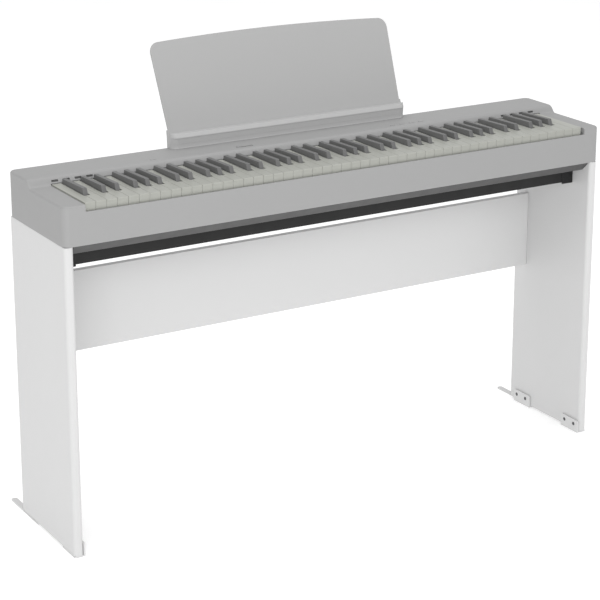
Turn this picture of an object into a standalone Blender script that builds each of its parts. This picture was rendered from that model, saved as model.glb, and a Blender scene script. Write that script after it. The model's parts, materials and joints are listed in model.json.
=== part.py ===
"""Digital piano on a panel stand.

Run with: blender --background --python part.py

Units are metres and +Z is up. The player sits on the -Y side and the treble end is +X. The origin is
the middle of the footprint, on the floor. Everything hangs on one empty whose Y is the front face of
the piano's case, so every Y below is a distance behind that face.
"""

import math

import bmesh
import bpy
from mathutils import Matrix, Vector

# ---- driving dimensions -------------------------------------------------------------------------

GAP = 0.0003
BEYOND = 0.010  # how far a cutter runs past the face it opens

CASE_HALF = 0.663
CASE_DEPTH = 0.272
CASE_BOTTOM = 0.662
CASE_TOP = 0.760
CHEEK_TOP = 0.7445
WALL = 0.003
CASE_CORNER = 0.015
CASE_EDGE = 0.0025
SLOPE_RADIUS = 0.014
SLOPE_ANGLE = 50
SLOPE_FOOT_Y = 0.1585
SLOPE_CREST_Y = 0.1845
KEY_WELL_HALF = 0.6195
KEY_WELL_REAR = 0.1680
KEY_SLIP_TOP = 0.7303
KEY_SLIP_THICKNESS = 0.0035
LIP_UNDERSIDE = 0.7438
LIP_REAR = 0.1705
LOWER_ROOM_TOP = 0.7270
UPPER_ROOM_BOTTOM = 0.7200

TRAY_BOTTOM = 0.640
TRAY_HALF = 0.6405
TRAY_WALL = 0.0028
TRAY_FLANGE_TOP = CASE_BOTTOM + 0.0028
FLANGE_CLEARANCE = 0.0005

KEY_PITCH = 0.0236
WHITE_KEYS = 52
KEY_GAP = 0.0005
WHITE_FRONT = 0.0055
WHITE_SHOULDER = 0.0525
WHITE_TOP = 0.7475
WHITE_BOTTOM = 0.7265
VISIBLE_REAR = 0.1640
WHITE_UNDER_REAR = 0.1560
TAIL_REAR = 0.2000
TAIL_TOP = 0.7425
BLACK_SLOT_HALF = 0.0068
BLACK_FRONT = 0.0545
BLACK_FRONT_SLOPE = 0.0105
BLACK_TOP = 0.7600
BLACK_TOP_REAR = 0.7565
BLACK_HALF = 0.0056
BLACK_TOP_HALF = 0.0046
BLACK_LEVER_HALF = 0.0045
BLACK_LEVER_TOP = 0.7456
BLACK_LEVER_BOTTOM = 0.7285
BLACK_OFFSETS = {1: -0.0030, 2: 0.0030, 4: -0.0036, 5: 0.0, 6: 0.0036}
WEB_FRONT = 0.1650
WEB_REAR = 0.1770
BLACK_WEB_TOP = 0.7325
PIVOT_Y = 0.1900
PIVOT_Z = 0.7345
ROD_RADIUS = 0.0016
NOTCH_HALF = 0.0020
KEYBED_HALF = 0.6195
KEYBED_BOTTOM = 0.7115
KEYBED_TOP = 0.7145
KEYBED_RIBS = (-0.5600, -0.1900, 0.1900, 0.5600)
FELT_THICKNESS = 0.0018

BOARD = 0.0016
SOCKET_HEIGHT = 0.6880
SOCKETS = (
    # x, width and height of each socket's block in the rear wall
    (-0.3000, 0.0100, 0.0100),
    (-0.2650, 0.0120, 0.0110),
    (-0.2250, 0.0110, 0.0110),
    (-0.1900, 0.0110, 0.0110),
)
SOCKET_WALL = 0.0022
SOCKET_DEEPEST = 0.2540
JACK_BOARD_FRONT = 0.2450
MAIN_BOARD_Z = 0.6480
PANEL_BOARD_Z = 0.7380
SPEAKER_CENTRE = (0.5640, 0.2340, 0.7400)
SPEAKER_STRETCH = 1.9

PANEL_OUTER = 0.6615
PANEL_THICKNESS = 0.020
PANEL_FRONT = 0.0015
PANEL_REAR = 0.2705
PANEL_BOTTOM = 0.0040
PANEL_TOP = CASE_BOTTOM - GAP
PANEL_INNER = PANEL_OUTER - PANEL_THICKNESS
PANEL_NOSE = 0.0080
BOARD_FRONT = 0.2255
BOARD_THICKNESS = 0.015
BOARD_BOTTOM = 0.3590
BOARD_TOP = 0.5365
ANGLE_STEEL = 0.0020
ANGLE_WIDTH = 0.0220
ANGLE_HEIGHTS = (0.4000, 0.4960)
RAIL_FRONT = 0.0640
RAIL_DEPTH = 0.0250
RAIL_STEEL = 0.0020
RAIL_BOTTOM = 0.6040
RAIL_TOP = TRAY_BOTTOM - GAP
RAIL_FLANGE = 0.0300
RAIL_CAP = 0.0030
RAIL_CAP_DROP = 0.0045
FOOT_PLATE = 0.0035
FOOT_FLANGE = 0.0040
FOOT_TOP = 0.0300
FOOT_LENGTH = 0.0610
FOOT_CORNER = 0.0050
FOOT_SCREW_HEIGHT = 0.0190
FEET = (
    # end, front of the foot, depths of its two screws
    ("front", 0.0040, (0.0185, 0.0525)),
    ("rear", 0.1900, (0.2065, 0.2405)),
)
STABILISER_TIP = 0.3380
STABILISER_WIDTH = 0.0135
THUMB_X = 0.5900
THUMB_Y = 0.2150
THUMB_HOLE = 0.0034
KNOB_RADIUS = 0.0110
KNOB_HEIGHT = 0.0090
SHANK_RADIUS = 0.0030
SHANK_LENGTH = 0.0240
PIANO_BRACKET_TOP = TRAY_BOTTOM - GAP
PIANO_BRACKET_BOTTOM = 0.5950
PIANO_BRACKET_STEEL = 0.0030
PIANO_BRACKET_INNER = 0.5740
PIANO_BRACKET_HALF = 0.0180

REST_TILT = math.radians(22)
REST_FOOT = Vector((0.0, 0.2665, 0.7890))
REST_THICKNESS = 0.0035
REST_BOTTOM_HALF = 0.2950
REST_TOP_HALF = 0.3015
REST_HEIGHT = 0.2015
REST_CROWN = 0.0075
REST_CORNER = 0.0220
REST_LEDGE_HALF = 0.2985
REST_LEDGE_FRONT = 0.2437
REST_LEDGE_BASE = 0.2470
REST_LEDGE_CORNER = 0.0180
REST_TONGUES = (-0.220, 0.0, 0.220)
REST_TONGUE_HALF = 0.030
REST_TONGUE_FRONT = 0.2655
REST_TONGUE_REAR = 0.2680

SLOT_HALF_LENGTH = 0.0075
SLOT_PITCH = 0.0257
LEFT_SLOTS_START = -0.6036
RIGHT_SLOTS_START = 0.5195
SLOT_FRONT = 0.1697
SLOT_REAR = 0.1729

CONTROL_Y = 0.1960
POWER_X = -0.3700
SLIDER_X = -0.1500
SLIDER_TRAVEL = 0.0300
SLIDER_HALF = 0.0045
FUNCTION_X = (0.2300, 0.2550, 0.2800, 0.3050)
BUTTON_HALF = (0.0070, 0.0027)
BUTTON_PROUD = 0.0010
STEM_HALF = 0.0015
STEM_BOTTOM = CASE_TOP - 0.0120
TOP_PLATE = (CASE_TOP - BEYOND, CASE_TOP + BEYOND)

DEPTH_OVERALL = 0.3480
CASE_FRONT_Y = -DEPTH_OVERALL / 2

# ---- scene, materials and small tools -----------------------------------------------------------

for old in list(bpy.data.objects):
    bpy.data.objects.remove(old, do_unlink=True)

parts = bpy.data.collections.new("digital_piano_on_stand")
bpy.context.scene.collection.children.link(parts)

root = bpy.data.objects.new("case_front_plane", None)
root.location = (0.0, CASE_FRONT_Y, 0.0)
root.empty_display_size = 0.05
parts.objects.link(root)


def material(name, colour, roughness, metallic=0.0):
    made = bpy.data.materials.new(name)
    made.use_nodes = True
    shader = made.node_tree.nodes["Principled BSDF"]
    shader.inputs["Base Color"].default_value = (*colour, 1.0)
    shader.inputs["Roughness"].default_value = roughness
    shader.inputs["Metallic"].default_value = metallic
    made.diffuse_color = (*colour, 1.0)
    return made


CASE_GREY = material("case_grey_abs", (0.42, 0.42, 0.42), 0.55)
TRAY_GREY = material("tray_dark_grey_abs", (0.15, 0.15, 0.15), 0.6)
IVORY = material("white_key_plastic", (0.48, 0.48, 0.43), 0.35)
EBONY = material("black_key_plastic", (0.17, 0.17, 0.17), 0.5)
WHITE_PANEL = material("white_melamine", (0.72, 0.72, 0.72), 0.45)
BLACK_STEEL = material("black_powder_coat", (0.04, 0.04, 0.04), 0.5, 0.3)
WHITE_STEEL = material("white_powder_coat", (0.72, 0.72, 0.72), 0.4, 0.2)
BARE_STEEL = material("bare_steel", (0.55, 0.55, 0.56), 0.3, 1.0)
FELT = material("grey_felt", (0.12, 0.12, 0.12), 0.95)
CIRCUIT = material("circuit_board", (0.05, 0.22, 0.09), 0.5)
CONE = material("speaker_cone", (0.05, 0.05, 0.05), 0.8)


def moved(mesh, offset):
    mesh.transform(Matrix.Translation(Vector(offset)))
    return mesh


def box(x, y, z):
    """A box mesh between the two ends given on each axis."""
    shape = bmesh.new()
    bmesh.ops.create_cube(shape, size=1.0)
    size = Matrix.Diagonal((x[1] - x[0], y[1] - y[0], z[1] - z[0], 1.0))
    centre = Matrix.Translation(((x[0] + x[1]) / 2, (y[0] + y[1]) / 2, (z[0] + z[1]) / 2))
    bmesh.ops.transform(shape, matrix=centre @ size, verts=shape.verts)
    mesh = bpy.data.meshes.new("box")
    shape.to_mesh(mesh)
    shape.free()
    return mesh


def cylinder(radius, length, centre, axis="Z", sides=16, end_radius=None):
    """A cylinder, or a cone when end_radius is given, centred on a point along an axis."""
    shape = bmesh.new()
    bmesh.ops.create_cone(
        shape,
        cap_ends=True,
        segments=sides,
        radius1=radius,
        radius2=radius if end_radius is None else end_radius,
        depth=length,
    )
    turn = {"X": Matrix.Rotation(math.pi / 2, 4, "Y"), "Y": Matrix.Rotation(-math.pi / 2, 4, "X")}
    matrix = Matrix.Translation(Vector(centre)) @ turn.get(axis, Matrix.Identity(4))
    bmesh.ops.transform(shape, matrix=matrix, verts=shape.verts)
    mesh = bpy.data.meshes.new("cylinder")
    shape.to_mesh(mesh)
    shape.free()
    return mesh


def evaluated_mesh(obj):
    bpy.context.view_layer.update()
    graph = bpy.context.evaluated_depsgraph_get()
    return bpy.data.meshes.new_from_object(obj.evaluated_get(graph))


def flat_outline(points, thickness):
    """A closed outline in the XY plane, made solid by half the thickness on each side of it."""
    curve = bpy.data.curves.new("outline", "CURVE")
    curve.dimensions = "2D"
    curve.fill_mode = "BOTH"
    curve.extrude = thickness / 2
    spline = curve.splines.new("POLY")
    spline.points.add(len(points) - 1)
    for point, (x, y) in zip(spline.points, points):
        point.co = (x, y, 0.0, 1.0)
    spline.use_cyclic_u = True
    guide = bpy.data.objects.new("outline", curve)
    bpy.context.scene.collection.objects.link(guide)
    mesh = evaluated_mesh(guide)
    bpy.data.objects.remove(guide, do_unlink=True)
    shape = bmesh.new()
    shape.from_mesh(mesh)
    bmesh.ops.remove_doubles(shape, verts=shape.verts, dist=0.00001)
    bmesh.ops.recalc_face_normals(shape, faces=shape.faces)
    shape.to_mesh(mesh)
    shape.free()
    return mesh


SIDE_VIEW = Matrix(((0, 0, 1, 0), (1, 0, 0, 0), (0, 1, 0, 0), (0, 0, 0, 1)))


def side_profile(points, x):
    """A (Y, Z) outline swept along X between two ends."""
    mesh = flat_outline(points, x[1] - x[0])
    mesh.transform(SIDE_VIEW)
    return moved(mesh, ((x[0] + x[1]) / 2, 0.0, 0.0))


def plan_outline(points, z):
    """An (X, Y) outline raised between two heights."""
    return moved(flat_outline(points, z[1] - z[0]), (0.0, 0.0, (z[0] + z[1]) / 2))


def round_edges(mesh, radius, segments, chosen):
    """Bevels the edges that chosen(start, end) picks."""
    shape = bmesh.new()
    shape.from_mesh(mesh)
    bmesh.ops.dissolve_limit(
        shape, angle_limit=math.radians(1), verts=shape.verts, edges=shape.edges
    )
    edges = [edge for edge in shape.edges if chosen(edge.verts[0].co, edge.verts[1].co)]
    bmesh.ops.bevel(
        shape,
        geom=edges,
        offset=radius,
        offset_type="OFFSET",
        segments=segments,
        profile=0.5,
        affect="EDGES",
        clamp_overlap=True,
    )
    shape.to_mesh(mesh)
    shape.free()
    return mesh


def upright(start, end):
    return abs(start.z - end.z) > 0.001 and (start - end).xy.length < 0.0005


def along_x(start, end):
    return abs(start.x - end.x) > 0.001 and (start - end).yz.length < 0.0005


def helper_object(mesh):
    helper = bpy.data.objects.new("helper", mesh)
    bpy.context.scene.collection.objects.link(helper)
    return helper


def combined(base, others, operation):
    """The base mesh with every other mesh united with it or taken from it, one body at the end."""
    if not others:
        return base
    group = bpy.data.collections.new("operands")
    bpy.context.scene.collection.children.link(group)
    for other in others:
        group.objects.link(bpy.data.objects.new("operand", other))
    main = helper_object(base)
    boolean = main.modifiers.new("boolean", "BOOLEAN")
    boolean.operation = operation
    boolean.solver = "EXACT"
    boolean.operand_type = "COLLECTION"
    boolean.collection = group
    mesh = evaluated_mesh(main)
    bpy.data.objects.remove(main, do_unlink=True)
    for obj in list(group.objects):
        bpy.data.objects.remove(obj, do_unlink=True)
    bpy.data.collections.remove(group)
    return mesh


def united(*meshes):
    return combined(meshes[0], meshes[1:], "UNION")


def cut(base, *cutters):
    return combined(base, cutters, "DIFFERENCE")


def node(name, mesh, finish, origin=(0.0, 0.0, 0.0), smooth=False):
    """Names the mesh, puts its object's origin at a point and hangs it on the case-front empty."""
    moved(mesh, -Vector(origin))
    mesh.name = name
    mesh.materials.clear()
    mesh.materials.append(finish)
    if smooth:
        mesh.shade_smooth()
        mesh.set_sharp_from_angle(angle=math.radians(40))
    obj = bpy.data.objects.new(name, mesh)
    obj.parent = root
    obj.location = origin
    parts.objects.link(obj)
    return obj


def both_sides(x0, x1):
    """The X range on the treble side, then its mirror image on the bass side."""
    return (("right", (x0, x1)), ("left", (-x1, -x0)))


# ---- piano case ---------------------------------------------------------------------------------


def arc(centre, radius, start, end, steps):
    """Points on an arc in a plane, with the angles in degrees."""
    angles = [math.radians(start + (end - start) * i / steps) for i in range(steps + 1)]
    return [(centre[0] + radius * math.cos(a), centre[1] + radius * math.sin(a)) for a in angles]


def slope_line(inset):
    """The slope behind the keys, from the flat top forwards to the cheek, moved in by an inset."""
    turn = 90 + SLOPE_ANGLE
    crest = arc((SLOPE_CREST_Y, CASE_TOP - SLOPE_RADIUS), SLOPE_RADIUS - inset, 90, turn, 3)
    foot = arc((SLOPE_FOOT_Y, CHEEK_TOP + SLOPE_RADIUS), SLOPE_RADIUS + inset, turn - 180, -90, 3)
    return crest + foot


def rounded_block(top):
    """A block of the case's plan with rounded corners and a rounded upper rim."""
    block = box((-CASE_HALF, CASE_HALF), (0.0, CASE_DEPTH), (CASE_BOTTOM, top))
    block = round_edges(block, CASE_CORNER, 4, upright)

    def rim(start, end):
        return min(start.z, end.z) > top - 0.0001

    return round_edges(block, CASE_EDGE, 2, rim)


def upper_case():
    joint_y = SLOPE_FOOT_Y - 0.012
    in_front = slope_line(0.0) + [
        (SLOPE_FOOT_Y - 0.004, CHEEK_TOP - 0.001),
        (joint_y, CHEEK_TOP - 0.001),
        (joint_y, CASE_BOTTOM - BEYOND),
        (-BEYOND, CASE_BOTTOM - BEYOND),
        (-BEYOND, CASE_TOP + BEYOND),
        (SLOPE_CREST_Y, CASE_TOP + BEYOND),
    ]
    across = (-CASE_HALF - BEYOND, CASE_HALF + BEYOND)
    rear = cut(rounded_block(CASE_TOP), side_profile(in_front, across))
    body = united(rounded_block(CHEEK_TOP), rear)

    inner_half = CASE_HALF - WALL
    inner_corner = CASE_CORNER - WALL
    rear_inside = CASE_DEPTH - WALL
    lower_room = box(
        (-inner_half, inner_half), (WALL, rear_inside), (CASE_BOTTOM - BEYOND, LOWER_ROOM_TOP)
    )
    lower_room = round_edges(lower_room, inner_corner, 4, upright)
    ceiling = [(y, z) for y, z in slope_line(WALL) if y > LIP_REAR + GAP]
    rear_room = side_profile(
        [
            (LIP_REAR, UPPER_ROOM_BOTTOM),
            (rear_inside, UPPER_ROOM_BOTTOM),
            (rear_inside, CASE_TOP - WALL),
            *ceiling,
            (LIP_REAR, LIP_UNDERSIDE),
        ],
        (-inner_half + 0.004, inner_half - 0.004),
    )
    rear_room = round_edges(rear_room, 0.010, 3, upright)
    well = (-KEY_WELL_HALF, KEY_WELL_HALF)
    key_well = box(well, (-BEYOND, KEY_WELL_REAR), (KEY_SLIP_TOP, CASE_TOP + BEYOND))
    under_lip = box(well, (KEY_SLIP_THICKNESS, TAIL_REAR), (UPPER_ROOM_BOTTOM, LIP_UNDERSIDE))
    cheek_rooms = []
    for _, x in both_sides(KEY_WELL_HALF + WALL, inner_half):
        room = box(x, (WALL, LIP_REAR - 0.0015), (UPPER_ROOM_BOTTOM, CHEEK_TOP - WALL))
        cheek_rooms.append(round_edges(room, inner_corner - GAP, 3, upright_at_outer_front))
    body = cut(body, lower_room)
    body = cut(body, rear_room)
    body = cut(body, key_well)
    body = cut(body, under_lip)
    body = cut(body, *cheek_rooms)

    holes = []
    for start in (LEFT_SLOTS_START, RIGHT_SLOTS_START):
        for number in range(4):
            x = start + number * SLOT_PITCH
            ends = (x - SLOT_HALF_LENGTH, x + SLOT_HALF_LENGTH)
            holes.append(box(ends, (SLOT_FRONT, SLOT_REAR), (LIP_UNDERSIDE, TOP_PLATE[1])))
    for x in REST_TONGUES:
        ends = (x - REST_TONGUE_HALF - 2 * GAP, x + REST_TONGUE_HALF + 2 * GAP)
        depth = (REST_TONGUE_FRONT - 2 * GAP, REST_TONGUE_REAR + 2 * GAP)
        holes.append(box(ends, depth, TOP_PLATE))
    for x in (POWER_X, *FUNCTION_X):
        holes.append(control_hole(x, BUTTON_HALF[0]))
    holes.append(control_hole(SLIDER_X, SLIDER_TRAVEL / 2 + SLIDER_HALF + 0.0005))
    for x, width, height in SOCKETS:
        reach = (width / 2 + 0.001, height / 2 + 0.001)
        span = (x - reach[0], x + reach[0])
        rise = (SOCKET_HEIGHT - reach[1], SOCKET_HEIGHT + reach[1])
        holes.append(box(span, (CASE_DEPTH - 2 * WALL, CASE_DEPTH + BEYOND), rise))
    body = cut(body, *holes)
    node("upper_case", body, CASE_GREY, smooth=True)


def upright_at_outer_front(start, end):
    return upright(start, end) and start.y < CASE_CORNER and abs(start.x) > PANEL_INNER


def control_hole(x, half_length):
    ends = (x - half_length - GAP, x + half_length + GAP)
    depth = (CONTROL_Y - BUTTON_HALF[1] - GAP, CONTROL_Y + BUTTON_HALF[1] + GAP)
    return box(ends, depth, TOP_PLATE)


def tray_solid(inset, top):
    """A tub with upright ends whose front and rear lean in downwards, moved inwards by an inset."""
    shape = bmesh.new()
    bmesh.ops.create_cube(shape, size=2.0)
    half_depth = CASE_DEPTH / 2 - WALL - GAP - inset
    bottom = TRAY_BOTTOM + inset
    for vert in shape.verts:
        upper = vert.co.z > 0
        taper = 0.0 if upper else top - bottom
        vert.co.x *= TRAY_HALF - inset
        vert.co.y *= half_depth - taper
        vert.co.y += CASE_DEPTH / 2
        vert.co.z = top if upper else bottom
    mesh = bpy.data.meshes.new("tub")
    shape.to_mesh(mesh)
    shape.free()
    return mesh


def lower_case():
    inset = WALL + FLANGE_CLEARANCE
    flange = box(
        (-CASE_HALF + inset, CASE_HALF - inset),
        (inset, CASE_DEPTH - inset),
        (CASE_BOTTOM + GAP, TRAY_FLANGE_TOP),
    )
    flange = round_edges(flange, CASE_CORNER - WALL, 4, upright)
    body = united(tray_solid(0.0, CASE_BOTTOM + 0.0010), flange)
    body = cut(body, tray_solid(TRAY_WALL, TRAY_FLANGE_TOP + 0.0032))
    screw_holes = [
        cylinder(THUMB_HOLE, 2 * BEYOND, (side * THUMB_X, THUMB_Y, TRAY_BOTTOM), sides=12)
        for side in (-1, 1)
    ]
    body = cut(body, *screw_holes)
    node("lower_case", body, TRAY_GREY)


# ---- electronics --------------------------------------------------------------------------------


def jack_board():
    """An upright board behind the rear wall, with a hollow block for each socket."""
    ends = (SOCKETS[0][0] - 0.020, SOCKETS[-1][0] + 0.020)
    heights = (SOCKET_HEIGHT - 0.018, SOCKET_HEIGHT + 0.018)
    board = box(ends, (JACK_BOARD_FRONT, JACK_BOARD_FRONT + BOARD), heights)
    blocks = []
    for x, width, height in SOCKETS:
        solids = []
        for inset, depth in (
            (0.0, (JACK_BOARD_FRONT + 0.0010, CASE_DEPTH - WALL / 2)),
            (SOCKET_WALL, (SOCKET_DEEPEST, CASE_DEPTH)),
        ):
            across = (x - width / 2 + inset, x + width / 2 - inset)
            rise = (SOCKET_HEIGHT - height / 2 + inset, SOCKET_HEIGHT + height / 2 - inset)
            solids.append(box(across, depth, rise))
        blocks.append(cut(*solids))
    node("jack_board", united(board, *blocks), CIRCUIT)


def main_board():
    """A board low in the tray, with a processor, an amplifier's heat sink and a connector."""
    board = box((-0.1200, 0.1200), (0.2070, 0.2380), (MAIN_BOARD_Z, MAIN_BOARD_Z + BOARD))
    foot = MAIN_BOARD_Z + 0.0010
    processor = box((-0.0150, 0.0150), (0.2120, 0.2330), (foot, foot + 0.0030))
    amplifier = box((0.0600, 0.0900), (0.2150, 0.2300), (foot, foot + 0.0090))
    connector = box((-0.1000, -0.0700), (0.2250, 0.2330), (foot, foot + 0.0080))
    node("main_board", united(board, processor, amplifier, connector), CIRCUIT)


def panel_board():
    """A long board under the controls."""
    ends = (POWER_X - 0.02, FUNCTION_X[-1] + 0.02)
    board = box(ends, (TAIL_REAR + 0.0045, 0.2250), (PANEL_BOARD_Z, PANEL_BOARD_Z + BOARD))
    node("panel_board", board, CIRCUIT)


def speakers():
    """An oval driver each side: rim, basket and magnet turned as one and widened along X."""
    profile = (
        (0.0, -0.0120),  # middle of the cone
        (0.0220, 0.0),
        (0.0270, 0.0),  # rim
        (0.0270, -0.0030),
        (0.0235, -0.0040),
        (0.0140, -0.0200),  # basket, then magnet
        (0.0140, -0.0300),
        (0.0, -0.0300),
    )
    for side, sign in (("right", 1), ("left", -1)):
        shape = bmesh.new()
        points = [shape.verts.new((radius, 0.0, height)) for radius, height in profile]
        edges = [shape.edges.new(pair) for pair in zip(points, points[1:])]
        bmesh.ops.spin(
            shape, geom=points + edges, cent=(0, 0, 0), axis=(0, 0, 1), angle=2 * math.pi,
            steps=20, use_merge=True,
        )
        bmesh.ops.remove_doubles(shape, verts=shape.verts, dist=0.00005)
        bmesh.ops.recalc_face_normals(shape, faces=shape.faces)
        bmesh.ops.scale(shape, vec=(SPEAKER_STRETCH, 1.0, 1.0), verts=shape.verts)
        mesh = bpy.data.meshes.new("driver")
        shape.to_mesh(mesh)
        shape.free()
        centre = (sign * SPEAKER_CENTRE[0], *SPEAKER_CENTRE[1:])
        node("speaker_" + side, moved(mesh, centre), CONE, origin=centre, smooth=True)


# ---- keybed and keys ----------------------------------------------------------------------------

KEYS_HALF = WHITE_KEYS * KEY_PITCH / 2


def keybed_frame():
    """A steel plate on ribs that stand in the tray, with a post at each end that holds the rod."""
    plate = box((-KEYBED_HALF, KEYBED_HALF), (0.0090, 0.2010), (KEYBED_BOTTOM, KEYBED_TOP))
    rib_bottom = TRAY_BOTTOM + TRAY_WALL + GAP
    ribs = [
        box((x - 0.002, x + 0.002), (0.0500, 0.1950), (rib_bottom, KEYBED_BOTTOM + 0.0005))
        for x in KEYBED_RIBS
    ]
    posts = [
        box(x, (PIVOT_Y - 0.005, PIVOT_Y + 0.005), (KEYBED_TOP - 0.0005, PIVOT_Z + 0.005))
        for _, x in both_sides(KEYS_HALF + 0.0020, KEYBED_HALF)
    ]
    body = united(plate, *ribs, *posts)
    bores = [
        cylinder(ROD_RADIUS + GAP, 2 * BEYOND, (side * KEYBED_HALF, PIVOT_Y, PIVOT_Z), "X", 12)
        for side in (-1, 1)
    ]
    node("keybed_frame", cut(body, *bores), BARE_STEEL)
    rod_length = 2 * KEYBED_HALF + 0.0020
    rod = cylinder(ROD_RADIUS, rod_length, (0.0, PIVOT_Y, PIVOT_Z), "X", 12)
    node("key_pivot_rod", rod, BARE_STEEL, smooth=True)


def keybed_soft_parts():
    """The felt the keys stop on, the felt on the lip's front face, and the board under the keys."""
    floor = KEYBED_TOP + GAP
    stop = box((-0.6090, 0.6090), (0.0120, 0.0300), (floor, floor + FELT_THICKNESS))
    node("down_stop_felt", stop, FELT)
    half = KEY_WELL_HALF - 0.0005
    lip = box((-half, half), (VISIBLE_REAR + 0.0010, KEY_WELL_REAR - GAP), (0.7440, 0.7479))
    node("lip_felt", lip, FELT)
    contacts = box((-0.6000, 0.6000), (0.1000, 0.1400), (floor, floor + BOARD))
    node("contact_board", contacts, CIRCUIT)


def white_edge(index):
    """X of the left edge of the white key with this number, counted from the bass end."""
    return -KEYS_HALF + index * KEY_PITCH


def black_centre(index):
    """X of the black key to the left of white key index, or None where there is none."""
    step = (index - 2) % 7
    if index <= 0 or index >= WHITE_KEYS or step not in BLACK_OFFSETS:
        return None
    return white_edge(index) + BLACK_OFFSETS[step]


def tail_ends(index):
    """X range of a white key's narrow tail, between the black keys on either side."""
    left = black_centre(index)
    right = black_centre(index + 1)
    start = white_edge(index) + KEY_GAP if left is None else left + BLACK_SLOT_HALF
    end = white_edge(index + 1) - KEY_GAP if right is None else right - BLACK_SLOT_HALF
    return start, end


def white_outline(first, last):
    """Outline of white keys first to last, joined by a web behind the part that shows."""
    points = []
    for index in range(first, last + 1):
        start, end = tail_ends(index)
        head = (white_edge(index) + KEY_GAP, white_edge(index + 1) - KEY_GAP)
        web = [] if index == first else [(start, WEB_FRONT)]
        points += web + [(start, WHITE_SHOULDER)]
        points += [(head[0], WHITE_SHOULDER)] if head[0] < start - 0.0001 else []
        points += [(head[0], WHITE_FRONT), (head[1], WHITE_FRONT)]
        points += [(head[1], WHITE_SHOULDER)] if head[1] > end + 0.0001 else []
        points += [(end, WHITE_SHOULDER)]
        points += [] if index == last else [(end, WEB_FRONT)]
    for index in range(last, first - 1, -1):
        start, end = tail_ends(index)
        points += [] if index == last else [(end, WEB_REAR)]
        points += [(end, TAIL_REAR), (start, TAIL_REAR)]
        points += [] if index == first else [(start, WEB_REAR)]
    clean = [p for i, p in enumerate(points) if math.dist(p, points[i - 1]) > 0.0001]
    return [
        p for i, p in enumerate(clean)
        if not (abs(p[0] - clean[i - 1][0]) < 1e-6
                and abs(p[0] - clean[(i + 1) % len(clean)][0]) < 1e-6)
    ]


def white_keys(name, first, last):
    """White keys whose rear is thinned above and below, with a notch that clips onto the rod."""
    body = plan_outline(white_outline(first, last), (WHITE_BOTTOM, WHITE_TOP))
    span = (white_edge(first) - 0.01, white_edge(last + 1) + 0.01)
    above = box(span, (VISIBLE_REAR, TAIL_REAR + 0.01), (TAIL_TOP, WHITE_TOP + 0.01))
    below = side_profile(
        [
            (WHITE_UNDER_REAR, WHITE_BOTTOM - 0.01),
            (TAIL_REAR + 0.01, WHITE_BOTTOM - 0.01),
            (TAIL_REAR + 0.01, 0.7290),
            (0.1800, 0.7290),
            (0.1800, 0.7380),
            (0.1630, 0.7380),
            (0.1630, 0.7300),
            (WHITE_UNDER_REAR, 0.7300),
        ],
        span,
    )
    notch = box(
        span, (PIVOT_Y - NOTCH_HALF, TAIL_REAR + 0.01), (PIVOT_Z - NOTCH_HALF, PIVOT_Z + NOTCH_HALF)
    )
    origin = ((white_edge(first) + white_edge(last + 1)) / 2, PIVOT_Y, PIVOT_Z)
    node(name, cut(body, above, below, notch), IVORY, origin=origin)


def black_cap(x):
    """The part of a black key that shows: its sides lean in, its front slopes back and its top
    falls a little to the rear."""
    shape = bmesh.new()
    bmesh.ops.create_cube(shape, size=2.0)
    for vert in shape.verts:
        upper = vert.co.z > 0
        front = vert.co.y < 0
        vert.co.x = x + vert.co.x * (BLACK_TOP_HALF if upper else BLACK_HALF)
        front_y = BLACK_FRONT + (BLACK_FRONT_SLOPE if upper else 0.0)
        rear_y = VISIBLE_REAR - (0.0010 if upper else 0.0)
        top = BLACK_TOP if front else BLACK_TOP_REAR
        vert.co.y = front_y if front else rear_y
        vert.co.z = top if upper else BLACK_LEVER_TOP - 0.0040
    mesh = bpy.data.meshes.new("cap")
    shape.to_mesh(mesh)
    shape.free()
    return mesh


def black_keys(name, indices):
    """Black keys given by the white key on their right, joined by a web under the white tails."""
    pieces = []
    centres = [black_centre(index) for index in indices]
    lever = [
        (BLACK_FRONT + 0.0015, BLACK_LEVER_BOTTOM),
        (TAIL_REAR, BLACK_LEVER_BOTTOM),
        (TAIL_REAR, PIVOT_Z - NOTCH_HALF),
        (PIVOT_Y - NOTCH_HALF, PIVOT_Z - NOTCH_HALF),
        (PIVOT_Y - NOTCH_HALF, PIVOT_Z + NOTCH_HALF),
        (TAIL_REAR, PIVOT_Z + NOTCH_HALF),
        (TAIL_REAR, 0.7400),
        (0.1820, 0.7400),
        (0.1820, 0.7330),
        (0.1600, 0.7330),
        (0.1500, BLACK_LEVER_TOP - 0.0020),
        (BLACK_FRONT + 0.0015, BLACK_LEVER_TOP - 0.0020),
    ]
    for x in centres:
        pieces.append(side_profile(lever, (x - BLACK_LEVER_HALF, x + BLACK_LEVER_HALF)))
        pieces.append(black_cap(x))
    if len(centres) > 1:
        heights = (BLACK_LEVER_BOTTOM + 0.0003, BLACK_WEB_TOP)
        pieces.append(box((centres[0], centres[-1]), (WEB_FRONT, WEB_REAR), heights))
    origin = ((centres[0] + centres[-1]) / 2, PIVOT_Y, PIVOT_Z)
    node(name, united(*pieces), EBONY, origin=origin)


def keyboard():
    """Two white keys below the first C, then seven octaves and the top C.

    The middle octave has one node for each key, and the other octaves one for each colour.
    """
    letters = ("c", "d", "e", "f", "g", "a", "b")
    white_keys("white_keys_0", 0, 1)
    black_keys("black_keys_0", [1])
    for octave in range(1, 8):
        first = 2 + 7 * (octave - 1)
        last = first + 6
        sharps = [first + step for step in BLACK_OFFSETS]
        if octave == 4:
            for step, letter in enumerate(letters):
                white_keys(f"key_{letter}4", first + step, first + step)
            for index in sharps:
                black_keys(f"key_{letters[index - first - 1]}_sharp4", [index])
        else:
            white_keys(f"white_keys_{octave}", first, last + (octave == 7))
            black_keys(f"black_keys_{octave}", sharps)


# ---- controls -----------------------------------------------------------------------------------


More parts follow.
